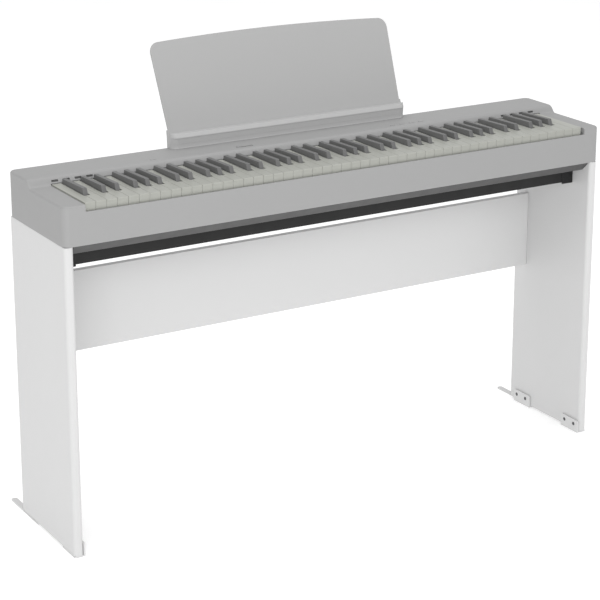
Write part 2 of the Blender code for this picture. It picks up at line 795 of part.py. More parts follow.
def push_button(name, x):
    half_x, half_y = BUTTON_HALF
    cap = box(
        (x - half_x, x + half_x),
        (CONTROL_Y - half_y, CONTROL_Y + half_y),
        (CASE_TOP - 0.0060, CASE_TOP + BUTTON_PROUD),
    )
    cap = round_edges(cap, half_y * 0.9, 3, upright)
    stem = box((x - STEM_HALF, x + STEM_HALF), (CONTROL_Y - STEM_HALF, CONTROL_Y + STEM_HALF),
               (STEM_BOTTOM, CASE_TOP - 0.0050))
    node(name, united(cap, stem), CASE_GREY, origin=(x, CONTROL_Y, CASE_TOP + BUTTON_PROUD))


def controls():
    push_button("power_button", POWER_X)
    for number, x in enumerate(FUNCTION_X, start=1):
        push_button(f"function_button_{number}", x)
    start = SLIDER_X - SLIDER_TRAVEL / 2
    half_y = BUTTON_HALF[1]

    def block(half_x, half_depth, z):
        ends = (start - half_x, start + half_x)
        return box(ends, (CONTROL_Y - half_depth, CONTROL_Y + half_depth), z)

    cap = block(SLIDER_HALF, half_y, (CASE_TOP - 0.0040, CASE_TOP + 0.0022))
    ridge = block(0.0006, half_y - 0.0004, (CASE_TOP + 0.0010, CASE_TOP + 0.0028))
    stem = block(0.0012, 0.0012, (STEM_BOTTOM, CASE_TOP - 0.0030))
    node("volume_slider", united(cap, ridge, stem), CASE_GREY, origin=(start, CONTROL_Y, CASE_TOP))


# ---- music rest ---------------------------------------------------------------------------------


def rest_plate():
    """A plate with rounded upper corners and a bowed upper edge, leaning back."""
    corner = REST_CORNER
    right = [(REST_BOTTOM_HALF, -0.001)]
    right += arc((REST_TOP_HALF - corner, REST_HEIGHT - corner), corner, 3, 84, 5)
    crown = []
    reach = right[-1][0]
    base = right[-1][1]
    for i in range(1, 8):
        x = reach * (1 - i / 4)
        crown.append((x, base + (REST_HEIGHT + REST_CROWN - base) * (1 - (x / reach) ** 2)))
    left = [(-x, y) for x, y in reversed(right)]
    mesh = flat_outline(right + crown + left, REST_THICKNESS)
    lean = Matrix.Rotation(math.pi / 2 - REST_TILT, 4, "X")
    mesh.transform(lean @ Matrix.Translation((0.0, 0.0, -REST_THICKNESS / 2)))
    return moved(mesh, REST_FOOT)


def ledge_plan():
    """The ledge seen from above, with its two front corners rounded."""
    corner = REST_LEDGE_CORNER
    x = REST_LEDGE_HALF - corner
    y = REST_LEDGE_FRONT + corner
    rear = CASE_DEPTH + BEYOND
    outline = [(-REST_LEDGE_HALF, rear)] + arc((-x, y), corner, 180, 270, 5)
    outline += arc((x, y), corner, 270, 360, 5) + [(REST_LEDGE_HALF, rear)]
    return plan_outline(outline, (CASE_TOP - BEYOND, REST_FOOT.z + 2 * BEYOND))


def music_rest():
    up = Vector((0.0, math.sin(REST_TILT), math.cos(REST_TILT)))
    front = Vector((0.0, -math.cos(REST_TILT), math.sin(REST_TILT)))
    above = REST_FOOT + up * 0.010
    behind = above - front * REST_THICKNESS
    bottom = CASE_TOP + 2 * GAP
    profile = [
        (REST_LEDGE_BASE, bottom),
        (0.2705, bottom),
        (0.2712, 0.7800),
        (behind.y, behind.z),
        (above.y, above.z),
        (REST_FOOT.y + 0.0010, REST_FOOT.z + 0.0030),
        (REST_FOOT.y - 0.0020, REST_FOOT.z + 0.0010),
        (0.2510, 0.7905),
        (0.2490, 0.7925),
        (0.2458, 0.7925),
        (REST_LEDGE_FRONT, 0.7895),
        (REST_LEDGE_FRONT, 0.7830),
        (0.2482, 0.7695),
    ]
    ledge = side_profile(profile, (-REST_LEDGE_HALF - BEYOND, REST_LEDGE_HALF + BEYOND))
    ledge = combined(ledge, [ledge_plan()], "INTERSECT")
    tongues = [
        box(
            (x - REST_TONGUE_HALF, x + REST_TONGUE_HALF),
            (REST_TONGUE_FRONT, REST_TONGUE_REAR),
            (CASE_TOP - 0.0140, bottom + 0.0020),
        )
        for x in REST_TONGUES
    ]
    body = united(ledge, rest_plate(), *tongues)
    node("music_rest", body, CASE_GREY, origin=REST_FOOT, smooth=True)


# ---- stand --------------------------------------------------------------------------------------


def side_panels():
    for side, x in both_sides(PANEL_INNER, PANEL_OUTER):
        mesh = box(x, (PANEL_FRONT, PANEL_REAR), (PANEL_BOTTOM, PANEL_TOP))

        def nose(start, end):
            return upright(start, end) and start.y < PANEL_FRONT + PANEL_NOSE

        mesh = round_edges(mesh, PANEL_NOSE, 4, nose)
        node(f"{side}_side_panel", mesh, WHITE_PANEL, smooth=True)


def back_board():
    half = PANEL_INNER - GAP
    mesh = box((-half, half), (BOARD_FRONT, BOARD_FRONT + BOARD_THICKNESS), (BOARD_BOTTOM, BOARD_TOP))
    node("back_board", mesh, WHITE_PANEL)


def front_rail():
    """A steel channel, open to the rear, with a deeper plate at each end that bolts to the panel."""
    half = PANEL_INNER - GAP
    steel = RAIL_STEEL
    channel = [
        (RAIL_FRONT, RAIL_BOTTOM),
        (RAIL_FRONT + RAIL_DEPTH, RAIL_BOTTOM),
        (RAIL_FRONT + RAIL_DEPTH, RAIL_BOTTOM + steel),
        (RAIL_FRONT + steel, RAIL_BOTTOM + steel),
        (RAIL_FRONT + steel, RAIL_TOP - steel),
        (RAIL_FRONT + RAIL_DEPTH, RAIL_TOP - steel),
        (RAIL_FRONT + RAIL_DEPTH, RAIL_TOP),
        (RAIL_FRONT, RAIL_TOP),
    ]
    pieces = [side_profile(channel, (-half, half))]
    low = RAIL_BOTTOM - RAIL_CAP_DROP
    for _, x in both_sides(half - RAIL_FLANGE, half):
        outer = max(x, key=abs)
        inner = outer - math.copysign(RAIL_CAP, outer)
        face = box(x, (RAIL_FRONT - 0.0015, RAIL_FRONT + 0.0010), (low, RAIL_TOP - 0.0010))
        depth = (RAIL_FRONT - 0.0012, RAIL_FRONT + RAIL_DEPTH + 0.010)
        cap = box(sorted((inner, outer)), depth, (low + GAP, RAIL_TOP - 0.0012))
        pieces += [face, cap]
    node("front_rail", united(*pieces), BLACK_STEEL)


def foot_screws(side, inner, centres):
    """Two screws' heads proud of the flange, and the hexagons to cut into them."""
    sign = 1 if side == "right" else -1
    heads = []
    recesses = []
    for y in centres:
        face = sign * inner
        heads.append(cylinder(0.0042, 0.0024, (face, y, FOOT_SCREW_HEIGHT), "X", 12))
        recesses.append(cylinder(0.0020, 0.0030, (face - sign * 0.0016, y, FOOT_SCREW_HEIGHT), "X", 6))
    return heads, recesses


def feet():
    """Angle brackets screwed inside each panel: a plate under it, and at the rear a bar behind it."""
    inner = PANEL_INNER - GAP - FOOT_FLANGE
    for side, x in both_sides(inner, PANEL_OUTER):
        sign = 1 if side == "right" else -1
        flange_x = sorted((sign * inner, sign * (inner + FOOT_FLANGE)))
        bar_x = sorted((sign * (PANEL_OUTER + 0.0005), sign * (PANEL_OUTER + 0.0005 - STABILISER_WIDTH)))
        for end, start_y, screws in FEET:
            depth = (start_y, start_y + FOOT_LENGTH)
            plate = box(x, depth, (0.0, FOOT_PLATE))
            flange = box(flange_x, depth, (0.0, FOOT_TOP))
            flange = round_edges(flange, FOOT_CORNER, 2, along_x_high)
            pieces = [plate, flange]
            if end == "rear":
                bar = box(bar_x, (start_y + 0.002, STABILISER_TIP), (0.0, FOOT_PLATE))
                pieces.append(round_edges(bar, FOOT_CORNER, 3, upright_at_tip))
            heads, recesses = foot_screws(side, inner, screws)
            body = united(*pieces, *heads)
            node(f"{end}_foot_{side}", cut(body, *recesses), WHITE_STEEL)


def along_x_high(start, end):
    return along_x(start, end) and start.z > FOOT_PLATE


def upright_at_tip(start, end):
    return upright(start, end) and start.y > CASE_DEPTH


def board_brackets():
    """Angles behind the back board, one at each panel."""
    rear = BOARD_FRONT + BOARD_THICKNESS + GAP
    outer = PANEL_INNER - GAP
    for side, x in both_sides(outer - ANGLE_WIDTH, outer):
        sign = 1 if side == "right" else -1
        on_board = box(x, (rear, rear + ANGLE_STEEL), ANGLE_HEIGHTS)
        leg_x = sorted((sign * outer, sign * (outer - ANGLE_STEEL)))
        on_panel = box(leg_x, (rear, PANEL_REAR - 0.004), ANGLE_HEIGHTS)
        node(f"board_bracket_{side}", united(on_board, on_panel), WHITE_STEEL)


def piano_fixings():
    """An angle inside the top of each panel, with a thumbscrew up into the piano's underside."""
    outer = PANEL_INNER - GAP
    steel = PIANO_BRACKET_STEEL
    top = PIANO_BRACKET_TOP
    for side, x in both_sides(PIANO_BRACKET_INNER, outer):
        sign = 1 if side == "right" else -1
        depth = (THUMB_Y - PIANO_BRACKET_HALF, THUMB_Y + PIANO_BRACKET_HALF)
        shelf = box(x, depth, (top - steel, top))
        leg_x = sorted((sign * outer, sign * (outer - steel)))
        leg = box(leg_x, depth, (PIANO_BRACKET_BOTTOM, top))
        bore = cylinder(THUMB_HOLE, 2 * BEYOND, (sign * THUMB_X, THUMB_Y, top), sides=12)
        node(f"piano_bracket_{side}", cut(united(shelf, leg), bore), BLACK_STEEL)
        under = top - steel - GAP
        knob_middle = (sign * THUMB_X, THUMB_Y, under - KNOB_HEIGHT / 2)
        shank_middle = (sign * THUMB_X, THUMB_Y, under + SHANK_LENGTH / 4)
        knob = cylinder(KNOB_RADIUS, KNOB_HEIGHT, knob_middle, sides=20)
        shank = cylinder(SHANK_RADIUS, SHANK_LENGTH, shank_middle, sides=12)
        node(f"thumbscrew_{side}", united(knob, shank), BARE_STEEL, smooth=True)


upper_case()
lower_case()
jack_board()
main_board()
panel_board()
speakers()
keybed_frame()
keybed_soft_parts()
keyboard()
controls()
music_rest()
side_panels()
back_board()
front_rail()
feet()
board_brackets()
piano_fixings()
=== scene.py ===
"""Digital piano on a panel stand: the looks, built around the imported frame.

Units are metres and +Z is up. The player sits on the -Y side and the treble end is +X. Places come from
the frame's boxes. "Depth" below means the distance behind the front face of the piano's case.
"""

import json
import math

import bmesh
import bpy
from mathutils import Euler, Matrix, Vector

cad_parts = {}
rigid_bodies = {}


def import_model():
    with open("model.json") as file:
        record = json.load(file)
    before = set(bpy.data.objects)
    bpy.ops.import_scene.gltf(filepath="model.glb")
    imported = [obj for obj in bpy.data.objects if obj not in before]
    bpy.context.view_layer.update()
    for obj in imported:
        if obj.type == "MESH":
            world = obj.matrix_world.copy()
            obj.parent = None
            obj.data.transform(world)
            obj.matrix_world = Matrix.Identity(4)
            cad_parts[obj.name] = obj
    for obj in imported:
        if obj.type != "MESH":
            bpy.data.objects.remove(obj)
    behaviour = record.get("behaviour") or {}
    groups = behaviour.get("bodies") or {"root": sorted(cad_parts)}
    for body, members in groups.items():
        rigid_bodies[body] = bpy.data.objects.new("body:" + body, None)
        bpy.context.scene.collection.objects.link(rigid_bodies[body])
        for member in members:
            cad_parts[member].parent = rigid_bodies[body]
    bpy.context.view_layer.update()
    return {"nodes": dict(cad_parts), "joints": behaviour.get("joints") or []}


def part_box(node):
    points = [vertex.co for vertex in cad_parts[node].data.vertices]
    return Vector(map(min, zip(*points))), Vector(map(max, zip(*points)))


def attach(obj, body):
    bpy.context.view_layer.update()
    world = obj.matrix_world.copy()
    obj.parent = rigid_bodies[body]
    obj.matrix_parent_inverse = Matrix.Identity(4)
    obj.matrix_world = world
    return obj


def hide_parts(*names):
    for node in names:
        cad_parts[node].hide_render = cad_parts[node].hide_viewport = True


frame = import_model()

ROOT = "piano_and_stand"
SIDES = (("left", -1), ("right", 1))
GAP = 0.0003
SHARP_EDGE = math.radians(25.0)
BEYOND = 0.0100  # how far a cutter reaches past what it cuts
FINE_EDGE = 0.0005  # rounding of cut steel and board edges

# ---- places from the frame ----------------------------------------------------------------------

case_low, case_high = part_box("upper_case")
FRONT = case_low.y
CASE_HALF = case_high.x
CASE_DEPTH = case_high.y - case_low.y
CASE_BOTTOM = case_low.z
CASE_TOP = case_high.z
TRAY_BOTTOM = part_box("lower_case")[0].z

# ---- design of the case -------------------------------------------------------------------------

CHEEK_TOP = 0.7445
WALL = 0.0030
CASE_CORNER = 0.0150
CASE_RIM = 0.0050
CASE_FOOT_EDGE = 0.0022
KEY_WELL = (-0.6147, 0.6195)
KEY_WELL_REAR = 0.1680
KEY_SLIP_TOP = 0.7303
LIP_UNDERSIDE = 0.7438
LIP_REAR = 0.1705
LOWER_ROOM_TOP = 0.7270
UPPER_ROOM_BOTTOM = 0.7200
SLOPE_RADIUS = 0.0140
SLOPE_FOOT = (0.1585, CHEEK_TOP + SLOPE_RADIUS)
SLOPE_CREST = (0.1845, CASE_TOP - SLOPE_RADIUS)
TRAY_HALF = 0.6405
SLOT_STARTS = (-0.6036, 0.5195)
SLOT_PITCH = 0.0257
SLOT_HALF_LENGTH = 0.0075
SLOT_HALF_WIDTH = 0.0025
SLOT_DEPTH = 0.1713
CONTROL_DEPTH = 0.1960
SLIDER_SLOT_HALF = 0.0028
HOLE_FLOOR = 0.7500
THUMB_HOLE = 0.0034

# ---- design of the keyboard ---------------------------------------------------------------------

WHITE_KEYS = 52
KEY_GAP = 0.0005
SHOWN_GAP = 0.0003
WHITE_FRONT = 0.0055
WHITE_SHOULDER = 0.0525
WHITE_TOP = 0.7475
WHITE_BOTTOM = 0.7265
WHITE_LIP = 0.0032
LIP_OVERHANG = 0.0009
VISIBLE_REAR = 0.1640
WHITE_UNDER_REAR = 0.1560
TAIL_REAR = 0.2000
TAIL_TOP = 0.7425
BLACK_SLOT_HALF = 0.0068
BLACK_OFFSETS = {1: -0.0030, 2: 0.0030, 4: -0.0036, 5: 0.0, 6: 0.0036}
BLACK_FRONT = 0.0545
BLACK_TOP = 0.7600
BLACK_TOP_REAR = 0.7565
BLACK_HALF = 0.0056
BLACK_TOP_HALF = 0.0046
BLACK_SLOPE = 0.0105
BLACK_FOOT = 0.7350
LETTERS = ("c", "d", "e", "f", "g", "a", "b")

KEYS_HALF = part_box("white_keys_7")[1].x + KEY_GAP
KEY_PITCH = 2 * KEYS_HALF / WHITE_KEYS

# ---- view, floor and light ----------------------------------------------------------------------

CAMERA_PLACE = (-2.118, -3.508, 1.774)
CAMERA_HEADING = math.radians(30.82)
CAMERA_PITCH = math.radians(-15.97)
CAMERA_LENS = 116.5
CAMERA_SHIFT = -0.15


def camera():
    data = bpy.data.cameras.new("camera")
    data.lens = CAMERA_LENS
    data.sensor_width = 36.0
    data.shift_y = CAMERA_SHIFT
    data.clip_end = 100.0
    made = bpy.data.objects.new("camera", data)
    made.location = CAMERA_PLACE
    made.rotation_euler = Euler((math.pi / 2 + CAMERA_PITCH, 0.0, -CAMERA_HEADING))
    bpy.context.scene.collection.objects.link(made)
    bpy.context.scene.camera = made


def area_light(name, place, aim, size, power):
    data = bpy.data.lights.new(name, "AREA")
    data.shape = "RECTANGLE"
    data.size, data.size_y = size
    data.energy = power
    lamp = bpy.data.objects.new(name, data)
    lamp.location = place
    lamp.rotation_euler = (Vector(aim) - Vector(place)).to_track_quat("-Z", "Y").to_euler()
    bpy.context.scene.collection.objects.link(lamp)


def studio():
    """A white dome for even light, soft boxes above and at the bass side for shape, a pale floor."""
    world = bpy.data.worlds.new("studio")
    world.use_nodes = True
    background = world.node_tree.nodes["Background"]
    set_inputs(background, Color=(1.0, 1.0, 1.0, 1.0), Strength=0.75)
    bpy.context.scene.world = world
    bpy.context.scene.view_settings.view_transform = "Standard"
    area_light("overhead_light", (0.0, 0.0, 3.4), (0.0, 0.0, 0.7), (3.0, 3.0), 33.0)
    area_light("corner_light", (-2.45, -3.65, 1.9), (0.0, 0.0, 0.5), (2.0, 2.0), 57.0)
    area_light("front_light", (1.6, -3.6, 2.6), (0.0, 0.0, 0.5), (2.4, 2.0), 10.0)
    plate = bmesh.new()
    bmesh.ops.create_grid(plate, x_segments=1, y_segments=1, size=14.0)
    mesh = bpy.data.meshes.new("floor")
    plate.to_mesh(mesh)
    plate.free()
    floor = bpy.data.objects.new("floor", mesh)
    floor.location = (0.0, 0.0, -0.0002)
    mesh.materials.append(floor_finish())
    bpy.context.scene.collection.objects.link(floor)


# ---- materials ----------------------------------------------------------------------------------


def set_inputs(made, **inputs):
    """Sets a shader node's inputs; an underscore in a name stands for a space."""
    for name, value in inputs.items():
        made.inputs[name.replace("_", " ")].default_value = value


def new_node(tree, kind, **inputs):
    made = tree.nodes.new("ShaderNode" + kind)
    set_inputs(made, **inputs)
    return made


def texture_space(tree, stretch=(1.0, 1.0, 1.0)):
    place = new_node(tree, "TexCoord")
    mapping = new_node(tree, "Mapping", Scale=stretch)
    tree.links.new(place.outputs["Object"], mapping.inputs["Vector"])
    return mapping.outputs["Vector"]


def noise(tree, space, scale, detail, roughness=0.5):
    made = new_node(tree, "TexNoise", Scale=scale, Detail=detail, Roughness=roughness)
    tree.links.new(space, made.inputs["Vector"])
    return made.outputs["Fac"]


def spread(tree, value, low, high, start=0.3, end=0.7):
    """The value between start and end stretched to low and high."""
    made = new_node(tree, "MapRange", From_Min=start, From_Max=end, To_Min=low, To_Max=high)
    tree.links.new(value, made.inputs["Value"])
    return made.outputs["Result"]


def blended(tree, factor, first, second):
    """A colour between two: each is a colour or another node's output."""
    made = new_node(tree, "Mix")
    made.data_type = "RGBA"
    tree.links.new(factor, made.inputs["Factor"])
    for socket, colour in (("A", first), ("B", second)):
        target = [s for s in made.inputs if s.name == socket and s.type == "RGBA"][0]
        if isinstance(colour, tuple):
            target.default_value = (*colour, 1.0)
        else:
            tree.links.new(colour, target)
    return [s for s in made.outputs if s.type == "RGBA"][0]


def bumped(tree, height, depth, below=None):
    made = new_node(tree, "Bump", Strength=1.0, Distance=depth)
    tree.links.new(height, made.inputs["Height"])
    if below is not None:
        tree.links.new(below, made.inputs["Normal"])
    return made.outputs["Normal"]


def turning(tree, width):
    """1 where the surface turns within a width, 0 on flat faces."""
    geometry = new_node(tree, "NewGeometry")
    rounded = new_node(tree, "Bevel", Radius=width)
    rounded.samples = 4
    likeness = new_node(tree, "VectorMath")
    likeness.operation = "DOT_PRODUCT"
    tree.links.new(rounded.outputs["Normal"], likeness.inputs[0])
    tree.links.new(geometry.outputs["Normal"], likeness.inputs[1])
    return spread(tree, likeness.outputs["Value"], 1.0, 0.0, 0.85, 0.995)


def shade(colour, factor):
    return tuple(min(1.0, c * factor) for c in colour)


def surface(
    name,
    colour,
    rough,
    metal=0.0,
    *,
    grain,
    wear,
    tone=0.03,
    tone_scale=7.0,
    grain_depth=0.00003,
    wave=0.0,
    wave_scale=60.0,
    rough_spread=0.06,
    stretch=(1.0, 1.0, 1.0),
    sheen=0.0,
    specular=0.5,
):
    """A moulded, painted or laminated surface.

    Its tone drifts a little over the piece, a fine grain and a longer wave lift it, its roughness
    varies, and its convex edges are rubbed lighter in patches.
    """
    made = bpy.data.materials.new(name)
    made.use_nodes = True
    tree = made.node_tree
    shader = tree.nodes["Principled BSDF"]
    space = texture_space(tree, stretch)
    drift = noise(tree, space, tone_scale, 3.0)
    tone_mix = spread(tree, drift, 0.0, 1.0)
    body = blended(tree, tone_mix, shade(colour, 1.0 - tone), shade(colour, 1.0 + tone))
    edge = turning(tree, 0.0012)
    patches = spread(tree, noise(tree, space, 90.0, 4.0), 0.0, wear, 0.42, 0.62)
    rubbed = new_node(tree, "Math")
    rubbed.operation = "MULTIPLY"
    tree.links.new(edge, rubbed.inputs[0])
    tree.links.new(patches, rubbed.inputs[1])
    lighter = tuple(c + (1.0 - c) * 0.5 for c in colour)
    worn = blended(tree, rubbed.outputs["Value"], body, lighter)
    tree.links.new(worn, shader.inputs["Base Color"])
    fine = noise(tree, space, grain, 3.0, 0.6)
    tree.links.new(
        spread(tree, noise(tree, space, 35.0, 3.0), rough - rough_spread, rough + rough_spread),
        shader.inputs["Roughness"],
    )
    normal = bumped(tree, fine, grain_depth)
    if wave > 0.0:
        normal = bumped(tree, noise(tree, space, wave_scale, 2.0), wave, normal)
    tree.links.new(normal, shader.inputs["Normal"])
    set_inputs(shader, Metallic=metal, Sheen_Weight=sheen, Specular_IOR_Level=specular)
    return made


def floor_finish():
    """A pale sweep that glows a little, so that it stays near white to the horizon."""
    made = bpy.data.materials.new("floor_sweep")
    made.use_nodes = True
    tree = made.node_tree
    shader = tree.nodes["Principled BSDF"]
    space = texture_space(tree)
    mottle = spread(tree, noise(tree, space, 3.0, 3.0), 0.0, 1.0)
    colour = blended(tree, mottle, (0.90, 0.90, 0.90), (0.93, 0.93, 0.93))
    tree.links.new(colour, shader.inputs["Base Color"])
    set_inputs(shader, Roughness=0.9, Specular_IOR_Level=0.1, Emission_Color=(1.0, 1.0, 1.0, 1.0),
               Emission_Strength=0.30)
    return made


def circuit_finish():
    """A green board with paler copper runs under the lacquer."""
    made = surface("circuit_board_lacquer", (0.02, 0.13, 0.05), 0.35, grain=2500.0, wear=0.0)
    tree = made.node_tree
    shader = tree.nodes["Principled BSDF"]
    space = texture_space(tree)
    runs = new_node(tree, "TexBrick", Scale=120.0, Mortar_Size=0.03, Color1=(0.02, 0.13, 0.05, 1.0),
                    Color2=(0.015, 0.10, 0.04, 1.0), Mortar=(0.05, 0.26, 0.10, 1.0))
    tree.links.new(space, runs.inputs["Vector"])
    tree.links.new(runs.outputs["Color"], shader.inputs["Base Color"])
    return made


def grey(tone):
    return (tone, tone, tone)


def moulding(name, tone, rough):
    """The finely textured plastic of the case and the music rest."""
    return surface(name, grey(tone), rough, tone=0.004, grain=1400.0, grain_depth=0.00002, wave=0.000004,
                   wave_scale=18.0, rough_spread=0.015, wear=0.15)


def laminate(name, tone):
    """The white facing of the stand's boards."""
    return surface(name, grey(tone), 0.45, tone=0.004, tone_scale=5.0, rough_spread=0.02, grain=1700.0,
                   grain_depth=0.00003, wave=0.00001, wave_scale=40.0, wear=0.12)


CASE = moulding("case_grey_moulding", 0.312, 0.55)
REST = moulding("rest_grey_moulding", 0.378, 0.58)
# The ledge is the same moulding as the rest plate; this copy is painted lighter to offset the shade under
# the ledge's lip.
LEDGE_PAINTED_LIGHTER = moulding("ledge_moulding_painted_lighter", 0.430, 0.58)
TRAY = surface("tray_grey_moulding", grey(0.066), 0.60, tone=0.02, grain=1200.0, grain_depth=0.00006,
               wear=0.15)
IVORY = surface("white_key_moulding", (0.355, 0.360, 0.328), 0.36, tone=0.008, tone_scale=24.0,
                grain=1800.0, grain_depth=0.000012, wear=0.15, stretch=(1.0, 0.25, 1.0))
EBONY = surface("black_key_moulding", grey(0.140), 0.50, tone=0.02, tone_scale=160.0, grain=1500.0,
                grain_depth=0.00003, wear=0.20, stretch=(1.0, 0.06, 1.0))
CONTROL = surface("control_grey_moulding", grey(0.315), 0.42, tone=0.02, grain=2200.0,
                  grain_depth=0.00002, wear=0.25)
LAMINATE = laminate("white_laminate", 0.598)
# The back board has the same laminate as the panels; this copy is painted lighter to offset the shade the
# piano casts on the board.
SHADE_LIFTED_LAMINATE = laminate("white_laminate_painted_lighter", 0.640)
NOSING = surface("white_edge_foil", grey(0.605), 0.36, tone=0.004, grain=1700.0, grain_depth=0.00002,
                 wave=0.00001, wave_scale=55.0, wear=0.10)
BLACK_STEEL = surface("black_powder_coat", grey(0.012), 0.50, tone=0.05, grain=1600.0,
                      grain_depth=0.00006, wear=0.06, specular=0.3)
WHITE_STEEL = surface("white_powder_coat", grey(0.620), 0.40, tone=0.01, grain=1600.0,
                      grain_depth=0.00005, wear=0.10)
SCREW_STEEL = surface("dark_screw_steel", (0.10, 0.10, 0.105), 0.38, 0.85, tone=0.08, tone_scale=300.0,
                      grain=3000.0, grain_depth=0.00002, wear=0.4)
TURNED_STEEL = surface("turned_steel", (0.60, 0.60, 0.61), 0.28, 1.0, tone=0.05, tone_scale=200.0,
                       grain=2600.0, grain_depth=0.00002, wear=0.3)
ZINC = surface("zinc_plate", (0.56, 0.56, 0.57), 0.38, 1.0, tone=0.10, tone_scale=90.0, grain=700.0,
               grain_depth=0.00002, wear=0.2)
FELT = surface("pressed_felt", grey(0.10), 0.95, tone=0.25, tone_scale=900.0, grain=2600.0,
               grain_depth=0.0002, wear=0.0, rough_spread=0.03, sheen=0.4)
SOCKET = surface("socket_plastic", (0.028, 0.028, 0.030), 0.45, tone=0.05, grain=2000.0, wear=0.2)
CLOTH = surface("speaker_cloth", grey(0.13), 0.90, tone=0.10, tone_scale=500.0, grain=2400.0,
                grain_depth=0.0001, wear=0.0, rough_spread=0.03)
CONE = surface("speaker_paper", (0.035, 0.035, 0.037), 0.85, tone=0.15, tone_scale=400.0, grain=900.0,
               grain_depth=0.0002, wear=0.1)
CIRCUIT = circuit_finish()

# ---- small modelling tools ----------------------------------------------------------------------


def mesh_of(shape):
    mesh = bpy.data.meshes.new("shape")
    shape.to_mesh(mesh)
    shape.free()
    return mesh


def box(x, y, z):
    """A plain block between two places on each axis, as the start of a shape."""
    shape = bmesh.new()
    bmesh.ops.create_cube(shape, size=1.0)
    size = Matrix.Diagonal((x[1] - x[0], y[1] - y[0], z[1] - z[0], 1.0))
    middle = Matrix.Translation(((x[0] + x[1]) / 2, (y[0] + y[1]) / 2, (z[0] + z[1]) / 2))
    bmesh.ops.transform(shape, matrix=middle @ size, verts=shape.verts)
    return mesh_of(shape)


AXIS_TURN = {
    "X": Matrix.Rotation(math.pi / 2, 4, "Y"),
    "Y": Matrix.Rotation(-math.pi / 2, 4, "X"),
    "Z": Matrix.Identity(4),
}


def turned(profile, place, axis="Z", sides=32):
    """A (radius, height) profile turned about an axis through a place; it starts and ends on the axis."""
    shape = bmesh.new()
    points = [shape.verts.new((radius, 0.0, height)) for radius, height in profile]
    edges = [shape.edges.new(pair) for pair in zip(points, points[1:])]
    bmesh.ops.spin(
        shape, geom=points + edges, cent=(0, 0, 0), axis=(0, 0, 1), angle=2 * math.pi,
        steps=sides, use_merge=True,
    )
    bmesh.ops.remove_doubles(shape, verts=shape.verts, dist=0.000005)
    bmesh.ops.recalc_face_normals(shape, faces=shape.faces)
    turn = Matrix.Translation(Vector(place)) @ AXIS_TURN[axis]
    bmesh.ops.transform(shape, matrix=turn, verts=shape.verts)
    return mesh_of(shape)


def drill(radius, reach, place, axis="Z"):
    """A round cutter that reaches equally far to both sides of a place."""
    return turned([(0.0, -reach), (radius, -reach), (radius, reach), (0.0, reach)], place, axis)


def sided(sign, first, second):
    """Two distances from the middle as X places on one side, in rising order."""
    return sorted((sign * first, sign * second))


def skin(shape, rings):
    """Joins closed rings of equally many points into a tube, and gives back the rows of vertices."""
    rows = [[shape.verts.new(point) for point in ring] for ring in rings]
    count = len(rows[0])
    for row, following in zip(rows, rows[1:]):
        for i in range(count):
            k = (i + 1) % count
            shape.faces.new((row[i], row[k], following[k], following[i]))
    return rows


def loft(rings):
    """A solid through closed rings of equally many points, with a flat face at each end."""
    shape = bmesh.new()
    rows = skin(shape, rings)
    shape.faces.new(reversed(rows[0]))
    shape.faces.new(rows[-1])
    bmesh.ops.recalc_face_normals(shape, faces=shape.faces)
    return mesh_of(shape)


def prism(outline, span, axis):
    """An outline swept between two places on an axis.

    The outline's points are (Y, Z) for the X axis, (X, Z) for the Y axis and (X, Y) for the Z axis.
    """
    order = {"X": lambda p, s: (s, p[0], p[1]), "Y": lambda p, s: (p[0], s, p[1]),
             "Z": lambda p, s: (p[0], p[1], s)}[axis]
    return loft([[order(point, side) for point in outline] for side in span])


def softened(mesh, width, segments, chosen=None):
    """Rounds the sharp edges that chosen(start, end) picks, or all of them."""
    shape = bmesh.new()
    shape.from_mesh(mesh)
    bmesh.ops.dissolve_limit(
        shape, angle_limit=math.radians(0.5), verts=shape.verts, edges=shape.edges
    )
    picked = []
    for edge in shape.edges:
        if len(edge.link_faces) != 2 or edge.calc_face_angle(0.0) < SHARP_EDGE:
            continue
        if chosen is None or chosen(edge.verts[0].co, edge.verts[1].co):
            picked.append(edge)
    bmesh.ops.bevel(
        shape, geom=picked, offset=width, offset_type="OFFSET", segments=segments, profile=0.5,
        affect="EDGES", clamp_overlap=True,
    )
    shape.to_mesh(mesh)
    shape.free()
    return mesh


def upright(start, end):
    return abs(start.z - end.z) > 0.0005 and (start - end).xy.length < 0.0005


def evaluated(obj):
    bpy.context.view_layer.update()
    graph = bpy.context.evaluated_depsgraph_get()
    return bpy.data.meshes.new_from_object(obj.evaluated_get(graph))


def combined(base, others, operation):
    group = bpy.data.collections.new("operands")
    bpy.context.scene.collection.children.link(group)
    for other in others:
        group.objects.link(bpy.data.objects.new("operand", other))
    main = bpy.data.objects.new("helper", base)
    bpy.context.scene.collection.objects.link(main)
    boolean = main.modifiers.new("boolean", "BOOLEAN")
    boolean.operation = operation
    boolean.solver = "EXACT"
    boolean.operand_type = "COLLECTION"
    boolean.collection = group
    mesh = evaluated(main)
    for obj in [main, *group.objects]:
        bpy.data.objects.remove(obj, do_unlink=True)
    bpy.data.collections.remove(group)
    return mesh


def united(*meshes):
    return combined(meshes[0], meshes[1:], "UNION")


def cut(base, *cutters):
    return combined(base, cutters, "DIFFERENCE")


def arc(centre, radius, start, end, steps):
    """Points on an arc in a plane, with the angles in degrees."""
    angles = [math.radians(start + (end - start) * i / steps) for i in range(steps + 1)]
    return [(centre[0] + radius * math.cos(a), centre[1] + radius * math.sin(a)) for a in angles]


def at_depth(mesh):
    """Moves a mesh modelled in depths behind the case's front to its place."""
    mesh.transform(Matrix.Translation((0.0, FRONT, 0.0)))
    return mesh


